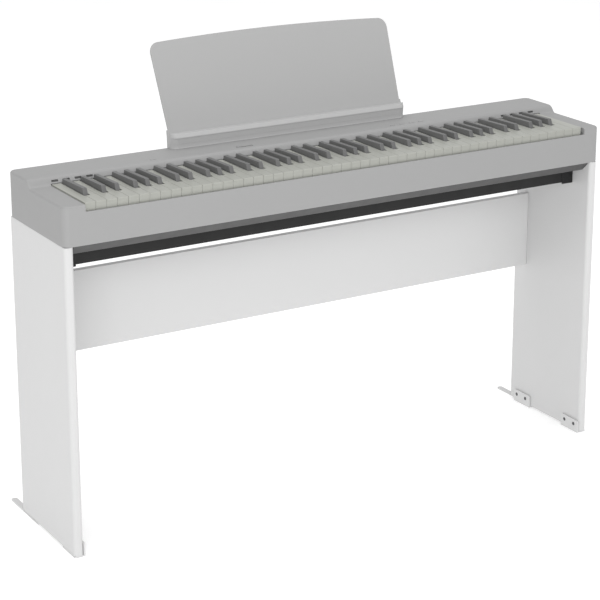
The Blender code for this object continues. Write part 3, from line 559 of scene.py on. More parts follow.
def piece(name, mesh, finish, body=ROOT, stands_for=(), angle=35.0):
    mesh.name = name
    mesh.materials.clear()
    mesh.materials.append(finish)
    obj = bpy.data.objects.new(name, mesh)
    bpy.context.scene.collection.objects.link(obj)
    mesh.shade_smooth()
    mesh.set_sharp_from_angle(angle=math.radians(angle))
    weighted = obj.modifiers.new("weighted_normals", "WEIGHTED_NORMAL")
    weighted.keep_sharp = True
    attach(obj, body)
    if stands_for:
        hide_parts(*stands_for)
    return obj


def dress(node, finish):
    """Gives a CAD node that stays a better finish."""
    obj = frame["nodes"][node]
    obj.data.materials.clear()
    obj.data.materials.append(finish)


# ---- case ---------------------------------------------------------------------------------------


def slope_angle():
    """The angle of the straight slope between the foot's arc and the crest's arc, in degrees."""
    across = SLOPE_CREST[0] - SLOPE_FOOT[0]
    rise = SLOPE_CREST[1] - SLOPE_FOOT[1]
    return math.degrees(math.atan2(rise, across) + math.asin(2 * SLOPE_RADIUS / math.hypot(across, rise)))


def slope_profile(inset):
    """(depth, height) points of the slope behind the keys, from the front to the rear."""
    turn = slope_angle()
    foot = arc(SLOPE_FOOT, SLOPE_RADIUS + inset, -90, turn - 90, 8)
    crest = arc(SLOPE_CREST, SLOPE_RADIUS - inset, 90 + turn, 90, 8)
    return foot + crest


def top_height(depth):
    """Height of the case's top at a depth."""
    points = slope_profile(0.0)
    if depth <= points[0][0]:
        return CHEEK_TOP
    for (y0, z0), (y1, z1) in zip(points, points[1:]):
        if depth <= y1:
            return z0 + (z1 - z0) * (depth - y0) / max(y1 - y0, 1e-9)
    return CASE_TOP


def case_ring(inset, height):
    """One closed ring of the case's plan, moved in by an inset; height(depth) gives each point's Z."""
    radius = CASE_CORNER - inset
    rear = CASE_DEPTH - CASE_CORNER
    x = CASE_HALF - CASE_CORNER
    right = arc((x, CASE_CORNER), radius, -90, 0, 10)
    stations = [p[0] for p in slope_profile(0.0)]
    right += [(x + radius, y) for y in stations]
    right += arc((x, rear), radius, 0, 90, 10)
    left = [(-px, py) for px, py in reversed(right)]
    return [Vector((px, py, height(py))) for px, py in right + left]


def case_block():
    """The whole outer form of the case as one closed surface: rings up the sides and over the rim."""
    rings = []
    for i in range(4):
        angle = math.pi / 2 * i / 3
        inset = CASE_FOOT_EDGE * (1 - math.sin(angle))
        rise = CASE_FOOT_EDGE * (1 - math.cos(angle))
        rings.append(case_ring(inset, lambda depth, rise=rise: CASE_BOTTOM + rise))
    steps = 6
    for i in range(steps + 1):
        angle = math.pi / 2 * i / steps
        inset = CASE_RIM * (1 - math.cos(angle))
        rise = CASE_RIM * (1 - math.sin(angle))
        rings.append(case_ring(inset, lambda depth, rise=rise: top_height(depth) - rise))
    shape = bmesh.new()
    rows = skin(shape, rings)
    count = len(rows[0])
    half = count // 2
    for row, flip in ((rows[0], True), (rows[-1], False)):
        for i in range(half - 1):
            corners = (row[i], row[i + 1], row[count - 2 - i], row[count - 1 - i])
            shape.faces.new(reversed(corners) if flip else corners)
    bmesh.ops.remove_doubles(shape, verts=shape.verts, dist=0.000002)
    bmesh.ops.recalc_face_normals(shape, faces=shape.faces)
    return mesh_of(shape)


SOCKETS = {
    "power_inlet": (-0.3000, "round", 0.0042),
    "usb_port": (-0.2650, "square", 0.0048),
    "pedal_socket": (-0.2250, "round", 0.0050),
    "headphone_socket": (-0.1900, "round", 0.0050),
}
SOCKET_HEIGHT = 0.6880
SOCKET_CLEARANCE = 0.0006


def case_cutters():
    """The rooms inside the case, the key well and the opening under the lip behind the keys."""
    inner = CASE_HALF - WALL
    rear = CASE_DEPTH - WALL
    lower_room = box((-inner, inner), (WALL, rear), (CASE_BOTTOM - BEYOND, LOWER_ROOM_TOP))
    lower_room = softened(lower_room, CASE_CORNER - WALL, 8, upright)
    ceiling = [point for point in slope_profile(WALL) if point[0] > LIP_REAR + GAP]
    rear_room = prism(
        [(LIP_REAR, LIP_UNDERSIDE), (LIP_REAR, UPPER_ROOM_BOTTOM), (rear, UPPER_ROOM_BOTTOM),
         (rear, CASE_TOP - WALL), *reversed(ceiling)],
        (-inner + 0.004, inner - 0.004),
        "X",
    )
    rear_room = softened(
        rear_room, 0.0100, 6, lambda start, end: upright(start, end) and start.y > rear - 0.001
    )
    key_well = box(KEY_WELL, (-BEYOND, KEY_WELL_REAR), (KEY_SLIP_TOP, CASE_TOP + 2 * BEYOND))
    under_lip = box(KEY_WELL, (0.0035, TAIL_REAR), (UPPER_ROOM_BOTTOM, LIP_UNDERSIDE))
    cheeks = []
    for side, edge in zip((-1, 1), KEY_WELL):
        ends = sorted((edge + side * WALL, side * inner))
        room = box(ends, (WALL, LIP_REAR - 0.0015), (UPPER_ROOM_BOTTOM, CHEEK_TOP - WALL))
        cheeks.append(softened(room, CASE_CORNER - WALL - GAP, 8, outer_front_corner))
    return [[lower_room], [rear_room], [key_well], [under_lip], cheeks]


def outer_front_corner(start, end):
    return upright(start, end) and start.y < CASE_CORNER and abs(start.x) > TRAY_HALF


def rounded_slot(x, y, z, radius):
    """A slot with round ends, cut down through the top."""
    return softened(box(x, y, z), radius, 5, upright)


def case_holes():
    """The speaker slots, and the holes for the music rest, the controls and the sockets."""
    holes = []
    through_top = (HOLE_FLOOR, CASE_TOP + BEYOND)
    for start in SLOT_STARTS:
        for number in range(4):
            x = start + number * SLOT_PITCH
            length = (-SLOT_HALF_LENGTH, SLOT_HALF_LENGTH)
            width = (-SLOT_HALF_WIDTH, SLOT_HALF_WIDTH)
            holes.append(at_slope(rounded_slot(length, width, (-0.0070, 0.0070), 0.0012), x))
    for x in REST_TONGUES:
        ends = (x - REST_TONGUE_HALF - 2 * GAP, x + REST_TONGUE_HALF + 2 * GAP)
        depth = (TONGUE_DEPTHS[0] - 2 * GAP, TONGUE_DEPTHS[1] + 2 * GAP)
        holes.append(rounded_slot(ends, depth, through_top, 0.0012))
    for name in BUTTONS:
        low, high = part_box(name)
        ends = (low.x - GAP, high.x + GAP)
        depth = (low.y - FRONT - GAP, high.y - FRONT + GAP)
        holes.append(rounded_slot(ends, depth, through_top, (high.y - low.y) / 2))
    low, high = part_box("volume_slider")
    travel = [j for j in frame["joints"] if j["name"] == "volume_slide"][0]["range_m"][1]
    ends = (low.x - 0.0008, high.x + travel + 0.0008)
    depth = (CONTROL_DEPTH - SLIDER_SLOT_HALF, CONTROL_DEPTH + SLIDER_SLOT_HALF)
    holes.append(rounded_slot(ends, depth, through_top, 0.0008))
    for x, form, radius in SOCKETS.values():
        reach = radius + SOCKET_CLEARANCE
        if form == "round":
            holes.append(drill(reach, 2 * BEYOND, (x, CASE_DEPTH, SOCKET_HEIGHT), "Y"))
        else:
            depth = (CASE_DEPTH - 2 * BEYOND, CASE_DEPTH + 2 * BEYOND)
            height = (SOCKET_HEIGHT - reach, SOCKET_HEIGHT + reach)
            holes.append(box((x - reach, x + reach), depth, height))
    return holes


BUTTONS = ("power_button", "function_button_1", "function_button_2", "function_button_3",
           "function_button_4")
REST_TONGUES = (-0.220, 0.0, 0.220)
REST_TONGUE_HALF = 0.030


def well_rim(start, end):
    """The crisp edges round the key well and along the front slip."""
    on_cheek = any(max(abs(start.x - x), abs(end.x - x)) < 0.0002 for x in KEY_WELL)
    high = min(start.z, end.z) > KEY_SLIP_TOP + 0.002
    along_cheek = on_cheek and high and abs(start.y - end.y) > 0.001
    on_slip = max(abs(start.z - KEY_SLIP_TOP), abs(end.z - KEY_SLIP_TOP)) < 0.0002
    along_slip = on_slip and abs(start.x - end.x) > 0.1 and start.y < 0.01
    on_lip = abs(start.y - KEY_WELL_REAR) < 0.0002 and abs(end.y - KEY_WELL_REAR) < 0.0002
    along_lip = on_lip and abs(start.x - end.x) > 0.1
    return along_cheek or along_slip or along_lip


def upper_case():
    body = case_block()
    for group in case_cutters():
        body = cut(body, *group)
    body = softened(body, 0.0005, 2, well_rim)
    body = cut(body, *case_holes())
    piece("upper_case_shell", at_depth(body), CASE, stands_for=("upper_case",))


def at_slope(mesh, x):
    """Turns a mesh modelled flat square to the slope and takes it to the speaker slots' depth."""
    lean = Matrix.Rotation(math.radians(slope_angle()), 4, "X")
    mesh.transform(Matrix.Translation((x, SLOT_DEPTH, top_height(SLOT_DEPTH))) @ lean)
    return mesh


def speaker_cloths():
    """A strip of woven cloth behind each row of slots, just clear of the case's wall."""
    reach = SLOT_HALF_LENGTH + 0.0060
    for side, start in zip(("left", "right"), SLOT_STARTS):
        strip = box((-reach, 3 * SLOT_PITCH + reach), (-0.0040, 0.0040), (-0.0042, -0.0034))
        strip = at_slope(softened(strip, 0.0002, 2), start)
        piece("speaker_cloth_" + side, at_depth(strip), CLOTH)


def lip_felt():
    """The felt on the front face of the lip, between the cheeks."""
    low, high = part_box("lip_felt")
    strip = box((KEY_WELL[0] + GAP, high.x), (low.y, high.y), (low.z, high.z))
    piece("lip_felt_strip", softened(strip, 0.0003, 2), FELT, stands_for=("lip_felt",))


def tub(inset, top):
    """A tub with upright ends whose front and rear lean in, moved in by an inset, with rounded edges."""
    shape = bmesh.new()
    bmesh.ops.create_cube(shape, size=2.0)
    half_depth = CASE_DEPTH / 2 - WALL - GAP - inset
    bottom = TRAY_BOTTOM + inset
    for vert in shape.verts:
        upper = vert.co.z > 0
        taper = 0.0 if upper else top - bottom
        vert.co.x *= TRAY_HALF - inset
        vert.co.y *= half_depth - taper
        vert.co.y += CASE_DEPTH / 2
        vert.co.z = top if upper else bottom
    body = mesh_of(shape)
    return softened(body, 0.0022, 4, lambda start, end: min(start.z, end.z) < top - 0.001)


def lower_case():
    half = CASE_HALF - WALL - 0.0005
    depth = (WALL + 0.0005, CASE_DEPTH - WALL - 0.0005)
    flange = box((-half, half), depth, (CASE_BOTTOM + GAP, CASE_BOTTOM + 0.0028))
    flange = softened(flange, CASE_CORNER - WALL, 8, upright)
    body = united(tub(0.0, CASE_BOTTOM + 0.0010), flange)
    body = cut(body, tub(0.0028, CASE_BOTTOM + 0.0060))
    holes = []
    for side, _ in SIDES:
        low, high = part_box("thumbscrew_" + side)
        place = ((low.x + high.x) / 2, (low.y + high.y) / 2 - FRONT, TRAY_BOTTOM)
        holes.append(drill(THUMB_HOLE, BEYOND, place))
    body = cut(body, *holes)
    piece("lower_case_tray", at_depth(body), TRAY, stands_for=("lower_case",))


def case_screws():
    """The screws that close the tray, in two rows under it."""
    for row, y in enumerate((0.060, 0.180)):
        for column in range(7):
            x = -0.54 + 0.18 * column
            if abs(x) < 0.01 and row == 0:
                continue
            place = (x, FRONT + y, TRAY_BOTTOM)
            turn = Matrix.Rotation(math.pi, 4, "X")
            screw(f"case_screw_{row}_{column}", 0.0036, 0.4, place, turn, SCREW_STEEL)


def screw(name, radius, recess, place, turn, finish):
    """A domed screw head with a hexagon recess; it looks along +Z before it is turned."""
    height = 0.0014
    profile = [(0.0, -height), (radius * 0.6, -height), (radius, -0.0001), (radius * 0.98, height * 0.25),
               (radius * 0.80, height * 0.62), (radius * 0.50, height * 0.75), (0.0, height * 0.78)]
    head = turned(profile, (0, 0, 0), "Z", 24)
    shape = bmesh.new()
    bmesh.ops.create_cone(
        shape, cap_ends=True, segments=6, radius1=radius * recess * 0.8, radius2=radius * recess,
        depth=height * 1.2,
    )
    bmesh.ops.translate(shape, vec=(0, 0, height * 0.75), verts=shape.verts)
    head = cut(head, mesh_of(shape))
    head.transform(Matrix.Translation(place) @ turn)
    piece(name, head, finish)


# ---- keys ---------------------------------------------------------------------------------------


def white_edge(index):
    """X of the left edge of the white key with this number, counted from the bass end."""
    return -KEYS_HALF + index * KEY_PITCH


def black_centre(index):
    """X of the black key to the left of white key index, or None where there is none."""
    step = (index - 2) % 7
    if index <= 0 or index >= WHITE_KEYS or step not in BLACK_OFFSETS:
        return None
    return white_edge(index) + BLACK_OFFSETS[step]


def white_key_mesh(index):
    """One white key: a plate notched for its black neighbours, a lip over its front, a thinner tail."""
    left = black_centre(index)
    right = black_centre(index + 1)
    head = (white_edge(index) + SHOWN_GAP, white_edge(index + 1) - SHOWN_GAP)
    tail = (head[0] if left is None else left + BLACK_SLOT_HALF,
            head[1] if right is None else right - BLACK_SLOT_HALF)
    outline = [(head[0], WHITE_FRONT), (head[1], WHITE_FRONT)]
    outline += [] if right is None else [(head[1], WHITE_SHOULDER), (tail[1], WHITE_SHOULDER)]
    outline += [(tail[1], TAIL_REAR), (tail[0], TAIL_REAR)]
    outline += [] if left is None else [(tail[0], WHITE_SHOULDER), (head[0], WHITE_SHOULDER)]
    body = prism(outline, (WHITE_BOTTOM, WHITE_TOP), "Z")
    body = softened(
        body, 0.0008, 3,
        lambda start, end: upright(start, end) and min(start.y, end.y) < WHITE_SHOULDER + 0.001
    )
    span = (head[0] - 0.01, head[1] + 0.01)
    under_lip = box(span, (0.0, WHITE_FRONT + LIP_OVERHANG), (0.7, WHITE_TOP - WHITE_LIP))
    behind = box(span, (VISIBLE_REAR, TAIL_REAR + 0.01), (TAIL_TOP, WHITE_TOP + 0.01))
    below = prism(
        [(WHITE_UNDER_REAR, 0.70), (TAIL_REAR + 0.01, 0.70), (TAIL_REAR + 0.01, 0.7290), (0.1800, 0.7290),
         (0.1800, 0.7380), (0.1630, 0.7380), (0.1630, 0.7300), (WHITE_UNDER_REAR, 0.7300)],
        span, "X",
    )
    body = cut(body, under_lip, behind, below)
    return softened(
        body, 0.0007, 3,
        lambda start, end: min(start.z, end.z) > WHITE_TOP - 0.0001
    )


def black_key_mesh(x):
    """One black key: a finger rest with leaning sides, a sloping front and a top that falls a
    little to the rear, on a narrower lever."""
    shape = bmesh.new()
    bmesh.ops.create_cube(shape, size=2.0)
    for vert in shape.verts:
        upper = vert.co.z > 0
        front = vert.co.y < 0
        vert.co.x *= BLACK_TOP_HALF if upper else BLACK_HALF
        front_y = BLACK_FRONT + (BLACK_SLOPE if upper else 0.0)
        vert.co.y = front_y if front else VISIBLE_REAR - (0.0010 if upper else 0.0)
        top = BLACK_TOP if front else BLACK_TOP_REAR
        vert.co.z = top if upper else BLACK_FOOT
    cap = softened(
        mesh_of(shape), 0.0012, 4, lambda start, end: max(start.z, end.z) > BLACK_TOP_REAR - 0.0001
    )
    lever = prism(
        [(BLACK_FRONT + 0.0015, 0.7285), (TAIL_REAR, 0.7285), (TAIL_REAR, 0.7400), (0.1820, 0.7400),
         (0.1820, 0.7330), (0.1600, 0.7330), (0.1500, 0.7380), (BLACK_FRONT + 0.0015, 0.7380)],
        (-0.0045, 0.0045), "X",
    )
    body = united(cap, lever)
    body.transform(Matrix.Translation((x, 0.0, 0.0)))
    return body


def keyboard():
    """All 88 keys, each on the body that its CAD node rides on."""
    replaced = set()

    def place(name, mesh, finish, slot, body):
        stands_for = () if body in replaced else (body,)
        replaced.add(body)
        piece(name, at_depth(mesh), finish, body, stands_for, angle=40.0)

    black = black_key_mesh(0.0)
    for index in range(WHITE_KEYS):
        octave = (index + 5) // 7
        step = (index - 2) % 7
        letter = LETTERS[step]
        body = f"key_{letter}4" if octave == 4 else f"white_keys_{min(octave, 7)}"
        place(f"white_key_{letter}{octave}", white_key_mesh(index), IVORY, "white_key", body)
        x = black_centre(index)
        if x is None:
            continue
        sharp = LETTERS[step - 1]
        body = f"key_{sharp}_sharp4" if octave == 4 else f"black_keys_{octave}"
        mesh = black.copy()
        mesh.transform(Matrix.Translation((x, 0.0, 0.0)))
        place(f"black_key_{sharp}_sharp{octave}", mesh, EBONY, "black_key", body)


# ---- controls -----------------------------------------------------------------------------------


def controls():
    """The buttons' and the slider's caps, each on a stem that reaches its board."""
    for name in BUTTONS:
        low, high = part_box(name)
        half = (high.y - low.y) / 2
        middle = (low.x + high.x) / 2
        cap = box((low.x, high.x), (low.y, high.y), (CASE_TOP - 0.0060, high.z))
        cap = softened(cap, half * 0.98, 8, upright)
        cap = softened(cap, 0.0005, 3, lambda start, end, top=high.z: min(start.z, end.z) > top - 0.0001)
        stem_x = (middle - 0.0015, middle + 0.0015)
        stem = box(stem_x, (low.y + 0.0012, high.y - 0.0012), (low.z, CASE_TOP - 0.0050))
        piece(name + "_cap", united(cap, stem), CONTROL, name, (name,))
    low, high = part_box("volume_slider")
    middle = (low.x + high.x) / 2
    depth = (low.y + high.y) / 2
    cap = box((low.x, high.x), (low.y, high.y), (CASE_TOP - 0.0040, high.z - 0.0006))
    cap = softened(cap, 0.0006, 3)
    grips = []
    for step in (-1, 0, 1):
        x = middle + 0.0024 * step
        ridge = box((x - 0.0006, x + 0.0006), (low.y + 0.0005, high.y - 0.0005), (CASE_TOP, high.z))
        grips.append(softened(ridge, 0.0003, 2))
    stem_x = (middle - 0.0012, middle + 0.0012)
    stem = box(stem_x, (depth - 0.0012, depth + 0.0012), (low.z, CASE_TOP - 0.0030))
    body = united(cap, stem, *grips)
    piece("volume_slider_cap", body, CONTROL, "volume_slider", ("volume_slider",))


# ---- music rest ---------------------------------------------------------------------------------

REST_TILT = math.radians(22)
REST_FOOT = Vector((0.0, 0.2665, 0.7890))
REST_THICKNESS = 0.0035
REST_BOTTOM_HALF = 0.2950
REST_TOP_HALF = 0.3015
REST_HEIGHT = 0.2015
REST_CROWN = 0.0075
REST_CORNER = 0.0220
LEDGE_HALF = 0.2985
LEDGE_BASE = 0.2470
LEDGE_CORNER = 0.0180
LEDGE_TOP = 0.7926
TONGUE_DEPTHS = (0.2655, 0.2680)
TONGUE_REACH = 0.0140
REST_GAP = 0.0002


def rest_plate():
    corner = REST_CORNER
    right = [(REST_BOTTOM_HALF, -0.001)]
    right += arc((REST_TOP_HALF - corner, REST_HEIGHT - corner), corner, 3, 84, 14)
    reach, base = right[-1]
    crown = []
    steps = 28
    for i in range(1, steps):
        x = reach * (1 - 2 * i / steps)
        crown.append((x, base + (REST_HEIGHT + REST_CROWN - base) * (1 - (x / reach) ** 2)))
    left = [(-x, y) for x, y in reversed(right)]
    mesh = prism(right + crown + left, (-REST_THICKNESS, 0.0), "Z")
    mesh = softened(mesh, 0.0009, 3, lambda start, end: min(start.y, end.y) > 0.0)
    lean = Matrix.Rotation(math.pi / 2 - REST_TILT, 4, "X")
    mesh.transform(Matrix.Translation(REST_FOOT) @ lean)
    return mesh


def ledge_stations():
    """Places along the ledge, close together where its front corners turn."""
    turn = [LEDGE_CORNER * (1 - math.cos(math.pi / 2 * i / 12)) for i in range(13)]
    return [step - LEDGE_HALF for step in turn] + [LEDGE_HALF - step for step in reversed(turn)]


def ledge_ring(profile, x):
    """The ledge's (depth, height) profile at one place, drawn back where a front corner turns."""
    past = min(max(abs(x) - (LEDGE_HALF - LEDGE_CORNER), 0.0), LEDGE_CORNER)
    back = LEDGE_CORNER - math.sqrt(LEDGE_CORNER ** 2 - past ** 2)
    front = min(y for y, z in profile)
    shrink = 1 - back / (REST_FOOT.y - front)
    return [(x, REST_FOOT.y - (REST_FOOT.y - y) * shrink if y < REST_FOOT.y else y, z) for y, z in profile]


def music_rest():
    up = Vector((0.0, math.sin(REST_TILT), math.cos(REST_TILT)))
    front = Vector((0.0, -math.cos(REST_TILT), math.sin(REST_TILT)))
    above = REST_FOOT + up * 0.010
    behind = above - front * REST_THICKNESS
    bottom = CASE_TOP + REST_GAP
    profile = [(LEDGE_BASE - 0.0008, bottom), (0.2705, bottom), (0.2712, 0.7800)]
    profile += [(behind.y, behind.z), (above.y, above.z)]
    profile += arc((REST_FOOT.y - 0.0014, REST_FOOT.z + 0.0036), 0.0026, -10, -100, 5)
    profile += [(0.2530, 0.7903), (0.2519, 0.7912)]
    profile += arc((0.2499, 0.7910), 0.0015, 60, 140, 4)
    profile += arc((0.2459, 0.7841), 0.0022, 140, 180, 4)
    profile += [(0.2437, 0.7830), (0.2439, 0.7825), (0.2447, 0.7819), (0.2449, 0.7811)]
    profile += [(0.2460, 0.7705), (0.2464, 0.7697), (0.2467, 0.7688)]
    profile += [(LEDGE_BASE, bottom + 0.0030), (LEDGE_BASE - 0.0003, bottom + 0.0012)]
    ledge = loft([ledge_ring(profile, x) for x in ledge_stations()])
    tongues = []
    for x in REST_TONGUES:
        ends = (x - REST_TONGUE_HALF, x + REST_TONGUE_HALF)
        tongue = box(ends, TONGUE_DEPTHS, (CASE_TOP - TONGUE_REACH, bottom + 0.0020))
        tongues.append(softened(tongue, 0.0008, 2, upright))
    body = united(ledge, rest_plate(), *tongues)
    body = at_depth(body)
    rest = piece("music_rest_moulding", body, REST, "music_rest", ("music_rest",))
    # The ledge's front faces take the lighter copy of the rest's moulding: painted light against the shade
    # under the lip.
    rest.data.materials.append(LEDGE_PAINTED_LIGHTER)
    for face in rest.data.polygons:
        if face.center.z < LEDGE_TOP and face.center.y < FRONT + REST_FOOT.y:
            face.material_index = 1


# ---- stand --------------------------------------------------------------------------------------


PANEL_NOSE = 0.0080


def side_panels():
    """The side panels, with a rounded front edge in smoother foil."""
    for side, _ in SIDES:
        name = f"{side}_side_panel"
        low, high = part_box(name)
        nose_rear = low.y + PANEL_NOSE
        mesh = box((low.x, high.x), (low.y, high.y), (low.z, high.z))
        mesh = softened(
            mesh, PANEL_NOSE, 8, lambda start, end: upright(start, end) and start.y < nose_rear
        )
        mesh = softened(mesh, FINE_EDGE, 2)
        panel = piece(name + "_board", mesh, LAMINATE, stands_for=(name,))
        panel.data.materials.append(NOSING)
        for face in panel.data.polygons:
            if face.center.y < nose_rear:
                face.material_index = 1


def back_board():
    low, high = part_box("back_board")
    mesh = softened(box((low.x, high.x), (low.y, high.y), (low.z, high.z)), 0.0006, 3)
    # The board takes the lighter copy of the panels' laminate: painted light against the piano's shadow on
    # it.
    piece("back_board_panel", mesh, SHADE_LIFTED_LAMINATE, stands_for=("back_board",))


def front_rail():
    """A folded steel channel, open to the rear, with a bolted plate at each end."""
    low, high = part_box("front_rail")
    half = high.x
    steel = 0.0020
    bend = 0.0028
    y0 = low.y + 0.0015
    y1 = y0 + 0.0250
    z0 = low.z + 0.0045
    z1 = high.z
    upper = (y0 + bend, z1 - bend)
    lower = (y0 + bend, z0 + bend)
    outer = arc(upper, bend, 90, 180, 5) + arc(lower, bend, 180, 270, 5)
    inner = arc(lower, bend - steel, 270, 180, 4) + arc(upper, bend - steel, 180, 90, 4)
    profile = [(y1, z1), *outer, (y1, z0), (y1, z0 + steel), *inner, (y1, z1 - steel)]
    pieces = [prism(profile, (-half, half), "X")]
    for _, sign in SIDES:
        face_z = (low.z + 0.0015, high.z - 0.0010)
        face = box(sided(sign, half - 0.0300, half), (low.y, y0 + 0.0010), face_z)
        pieces.append(softened(face, 0.0006, 2))
        cap_z = (low.z + 0.0018, high.z - 0.0012)
        pieces.append(box(sided(sign, half - 0.0030, half - 0.0001), (low.y + 0.0003, high.y), cap_z))
    body = united(*pieces)
    piece("front_rail_channel", body, BLACK_STEEL, stands_for=("front_rail",))


def bracket(*parts):
    """Steel parts joined into one, with their edges lightly rounded."""
    return united(*[softened(part, FINE_EDGE, 2) for part in parts])


FOOT_SCREWS = {"front": (0.0185, 0.0525), "rear": (0.2065, 0.2405)}
FOOT_SCREW_HEIGHT = 0.0190
FOOT_LENGTH = 0.0610
FOOT_PLATE = 0.0035
FOOT_FLANGE = 0.0040
FOOT_BAR = 0.0135


def feet():
    """Angle brackets with rounded corners; at the rear a flat bar runs back behind the panel."""
    for side, sign in SIDES:
        panel_low, panel_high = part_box(f"{side}_side_panel")
        panel_inner, panel_outer = sorted((abs(panel_low.x), abs(panel_high.x)))
        flange_outer = panel_inner - GAP
        flange_inner = flange_outer - FOOT_FLANGE
        for end in ("front", "rear"):
            name = f"{end}_foot_{side}"
            low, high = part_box(name)
            depth = (low.y, low.y + FOOT_LENGTH)
            plate = box(sided(sign, flange_inner, panel_outer), depth, (0.0, FOOT_PLATE))
            flange = box(sided(sign, flange_inner, flange_outer), depth, (0.0, high.z))
            flange = softened(
                flange, 0.0050, 6,
                lambda start, end: abs(start.x - end.x) > 0.002 and min(start.z, end.z) > 0.02
            )
            parts = [plate, flange]
            if end == "rear":
                outer = max(abs(low.x), abs(high.x))
                bar_x = sided(sign, outer - FOOT_BAR, outer)
                bar = box(bar_x, (low.y + 0.0020, high.y), (0.0, FOOT_PLATE))
                bar = softened(
                    bar, 0.0050, 8,
                    lambda start, end, y=high.y: upright(start, end) and start.y > y - 0.01
                )
                parts.append(bar)
            piece(name + "_bracket", bracket(*parts), WHITE_STEEL, stands_for=(name,))
            turn = Matrix.Rotation(-sign * math.pi / 2, 4, "Y")
            for number, depth in enumerate(FOOT_SCREWS[end]):
                place = (sign * flange_inner, FRONT + depth, FOOT_SCREW_HEIGHT)
                screw(f"{name}_screw_{number}", 0.0042, 0.55, place, turn, SCREW_STEEL)


BOARD_ANGLE_STEEL = 0.002
PIANO_ANGLE_STEEL = 0.003


def board_angle(side, sign):
    """The angle that holds the back board to a panel, with its two screws."""
    name = "board_bracket_" + side
    low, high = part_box(name)
    outer = max(abs(low.x), abs(high.x))
    screw_depth = low.y + BOARD_ANGLE_STEEL
    on_board = box((low.x, high.x), (low.y, screw_depth), (low.z, high.z))
    on_panel = box(sided(sign, outer - BOARD_ANGLE_STEEL, outer), (low.y, high.y), (low.z, high.z))
    body = bracket(on_board, on_panel)
    piece(name + "_angle", body, WHITE_STEEL, stands_for=(name,))
    x = (low.x + high.x) / 2 - sign * 0.001
    turn = Matrix.Rotation(-math.pi / 2, 4, "X")
    for number, z in enumerate((low.z + 0.015, high.z - 0.015)):
        place = (x, screw_depth, z)
        screw(f"{name}_screw_{number}", 0.0040, 0.5, place, turn, TURNED_STEEL)


def piano_angle(side, sign):
    """The angle under the tray that the piano stands on, bored for its thumbscrew."""
    name = "piano_bracket_" + side
    low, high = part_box(name)
    thumb_low, thumb_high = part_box("thumbscrew_" + side)
    thumb = ((thumb_low.x + thumb_high.x) / 2, (thumb_low.y + thumb_high.y) / 2)
    outer = max(abs(low.x), abs(high.x))
    shelf = box((low.x, high.x), (low.y, high.y), (high.z - PIANO_ANGLE_STEEL, high.z))
    leg = box(sided(sign, outer - PIANO_ANGLE_STEEL, outer), (low.y, high.y), (low.z, high.z))
    body = cut(bracket(shelf, leg), drill(THUMB_HOLE, BEYOND, (*thumb, high.z)))
    piece(name + "_angle", body, BLACK_STEEL, stands_for=(name,))
    thumbscrew(side, thumb, thumb_low.z, thumb_high.z)


def thumbscrew(side, place, bottom, top):
    """A fluted knob on a threaded shank."""
    points = 96
    flutes = 24
    outline = ((0.0, 0.90), (0.0006, 0.97), (0.0014, 1.0), (0.0076, 1.0), (0.0084, 0.97), (0.0090, 0.90))
    rings = []
    for z, scale in outline:
        ring = []
        for i in range(points):
            angle = 2 * math.pi * i / points
            radius = (0.0110 - 0.0005 * (0.5 + 0.5 * math.cos(flutes * angle))) * scale
            ring.append((radius * math.cos(angle), radius * math.sin(angle), z))
        rings.append(ring)
    knob = loft(rings)
    knob.transform(Matrix.Translation((*place, bottom)))
    shank = [(0.0, 0.006), (0.0030, 0.006)]
    height = top - bottom
    turns = int((height - 0.010) / 0.0010)
    for i in range(turns):
        z = 0.0095 + 0.0010 * i
        shank += [(0.0030, z), (0.0026, z + 0.0005)]
    shank += [(0.0030, height - 0.0006), (0.0026, height), (0.0, height)]
    thread = turned(shank, (*place, bottom), "Z", 24)
    piece("thumbscrew_" + side + "_knob", united(knob, thread), TURNED_STEEL,
          stands_for=("thumbscrew_" + side,), angle=50.0)


# ---- sockets and inside -------------------------------------------------------------------------


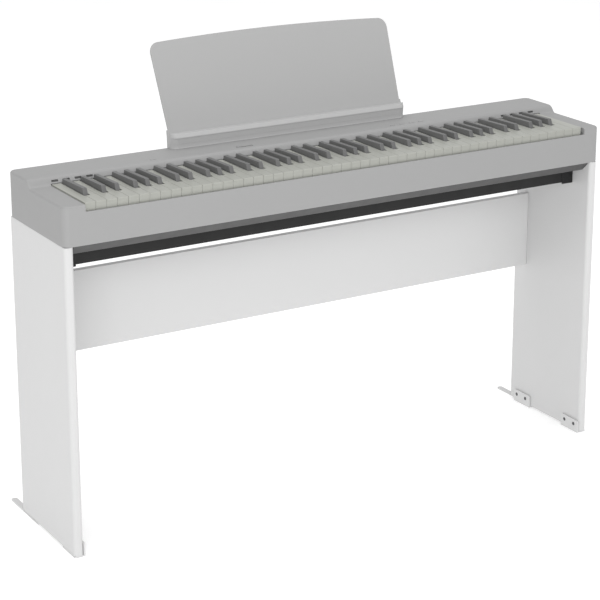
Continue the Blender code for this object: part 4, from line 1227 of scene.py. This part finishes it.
def round_socket(name, x, radius, housing):
    """A round socket: its collar in the case's wall, its mouth, and its pin or its metal ring."""
    rear = FRONT + CASE_DEPTH
    bore = radius - 0.0012
    rim = WALL + 0.0002
    collar = [(0.0, -0.004), (radius, -0.004), (radius, WALL - 0.0006), (radius - 0.0006, rim), (0.0, rim)]
    collar = turned(collar, (x, rear - WALL - 0.0004, SOCKET_HEIGHT), "Y")
    mouth = [(0.0, -0.014), (bore, -0.014), (bore, 0.006), (0.0, 0.006)]
    mouth = turned(mouth, (x, rear - WALL, SOCKET_HEIGHT), "Y")
    piece(name + "_housing", cut(united(housing, collar), mouth), SOCKET)
    if name == "power_inlet":
        pin = [(0.0, 0.0), (0.0010, 0.0), (0.0010, 0.0105), (0.0006, 0.0115), (0.0, 0.0116)]
        pin = turned(pin, (x, rear - WALL - 0.0140, SOCKET_HEIGHT), "Y", 16)
        piece(name + "_pin", pin, TURNED_STEEL)
    else:
        inner, outer, depth = bore - 0.0004, bore + 0.0006, 0.0004
        ring = [(inner, 0.0), (outer, 0.0), (outer, depth), (inner, depth), (inner, 0.0)]
        ring = turned(ring, (x, rear - 0.0002, SOCKET_HEIGHT), "Y")
        piece(name + "_ring", ring, TURNED_STEEL)


def square_socket(name, x, radius, housing):
    """A square port: its lip in the case's wall, its mouth and its tongue."""
    rear = FRONT + CASE_DEPTH

    def block(half_width, half_height, front, back):
        height = (SOCKET_HEIGHT - half_height, SOCKET_HEIGHT + half_height)
        return box((x - half_width, x + half_width), (front, back), height)

    inner = radius - 0.0009
    lip = block(radius, radius, rear - WALL - 0.0020, rear - 0.0004)
    mouth = block(inner, inner, rear - 0.0140, rear + BEYOND)
    piece(name + "_housing", cut(united(housing, lip), mouth), ZINC)
    tongue = softened(block(0.0024, 0.0012, rear - 0.0142, rear - 0.0030), 0.0003, 2)
    piece(name + "_tongue", tongue, SOCKET)


def sockets():
    """The socket board, and each socket's housing with what it holds."""
    low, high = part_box("jack_board")
    board = softened(box((low.x, high.x), (low.y, low.y + 0.0016), (low.z, high.z)), 0.0003, 2)
    piece("socket_circuit_board", board, CIRCUIT, stands_for=("jack_board",))
    depth = (low.y + 0.0018, FRONT + CASE_DEPTH - WALL - 0.0004)
    for name, (x, form, radius) in SOCKETS.items():
        side = radius + 0.0008
        housing = box((x - side, x + side), depth, (SOCKET_HEIGHT - side, SOCKET_HEIGHT + side))
        fill = round_socket if form == "round" else square_socket
        fill(name, x, radius, softened(housing, 0.0006, 2))


def inside():
    for node in ("main_board", "panel_board", "contact_board"):
        dress(node, CIRCUIT)
    dress("down_stop_felt", FELT)
    for node in ("speaker_left", "speaker_right"):
        dress(node, CONE)
    dress("keybed_frame", ZINC)
    dress("key_pivot_rod", TURNED_STEEL)


camera()
studio()
upper_case()
speaker_cloths()
lip_felt()
lower_case()
case_screws()
keyboard()
controls()
music_rest()
side_panels()
back_board()
front_rail()
feet()
for side, sign in SIDES:
    board_angle(side, sign)
    piano_angle(side, sign)
sockets()
inside()
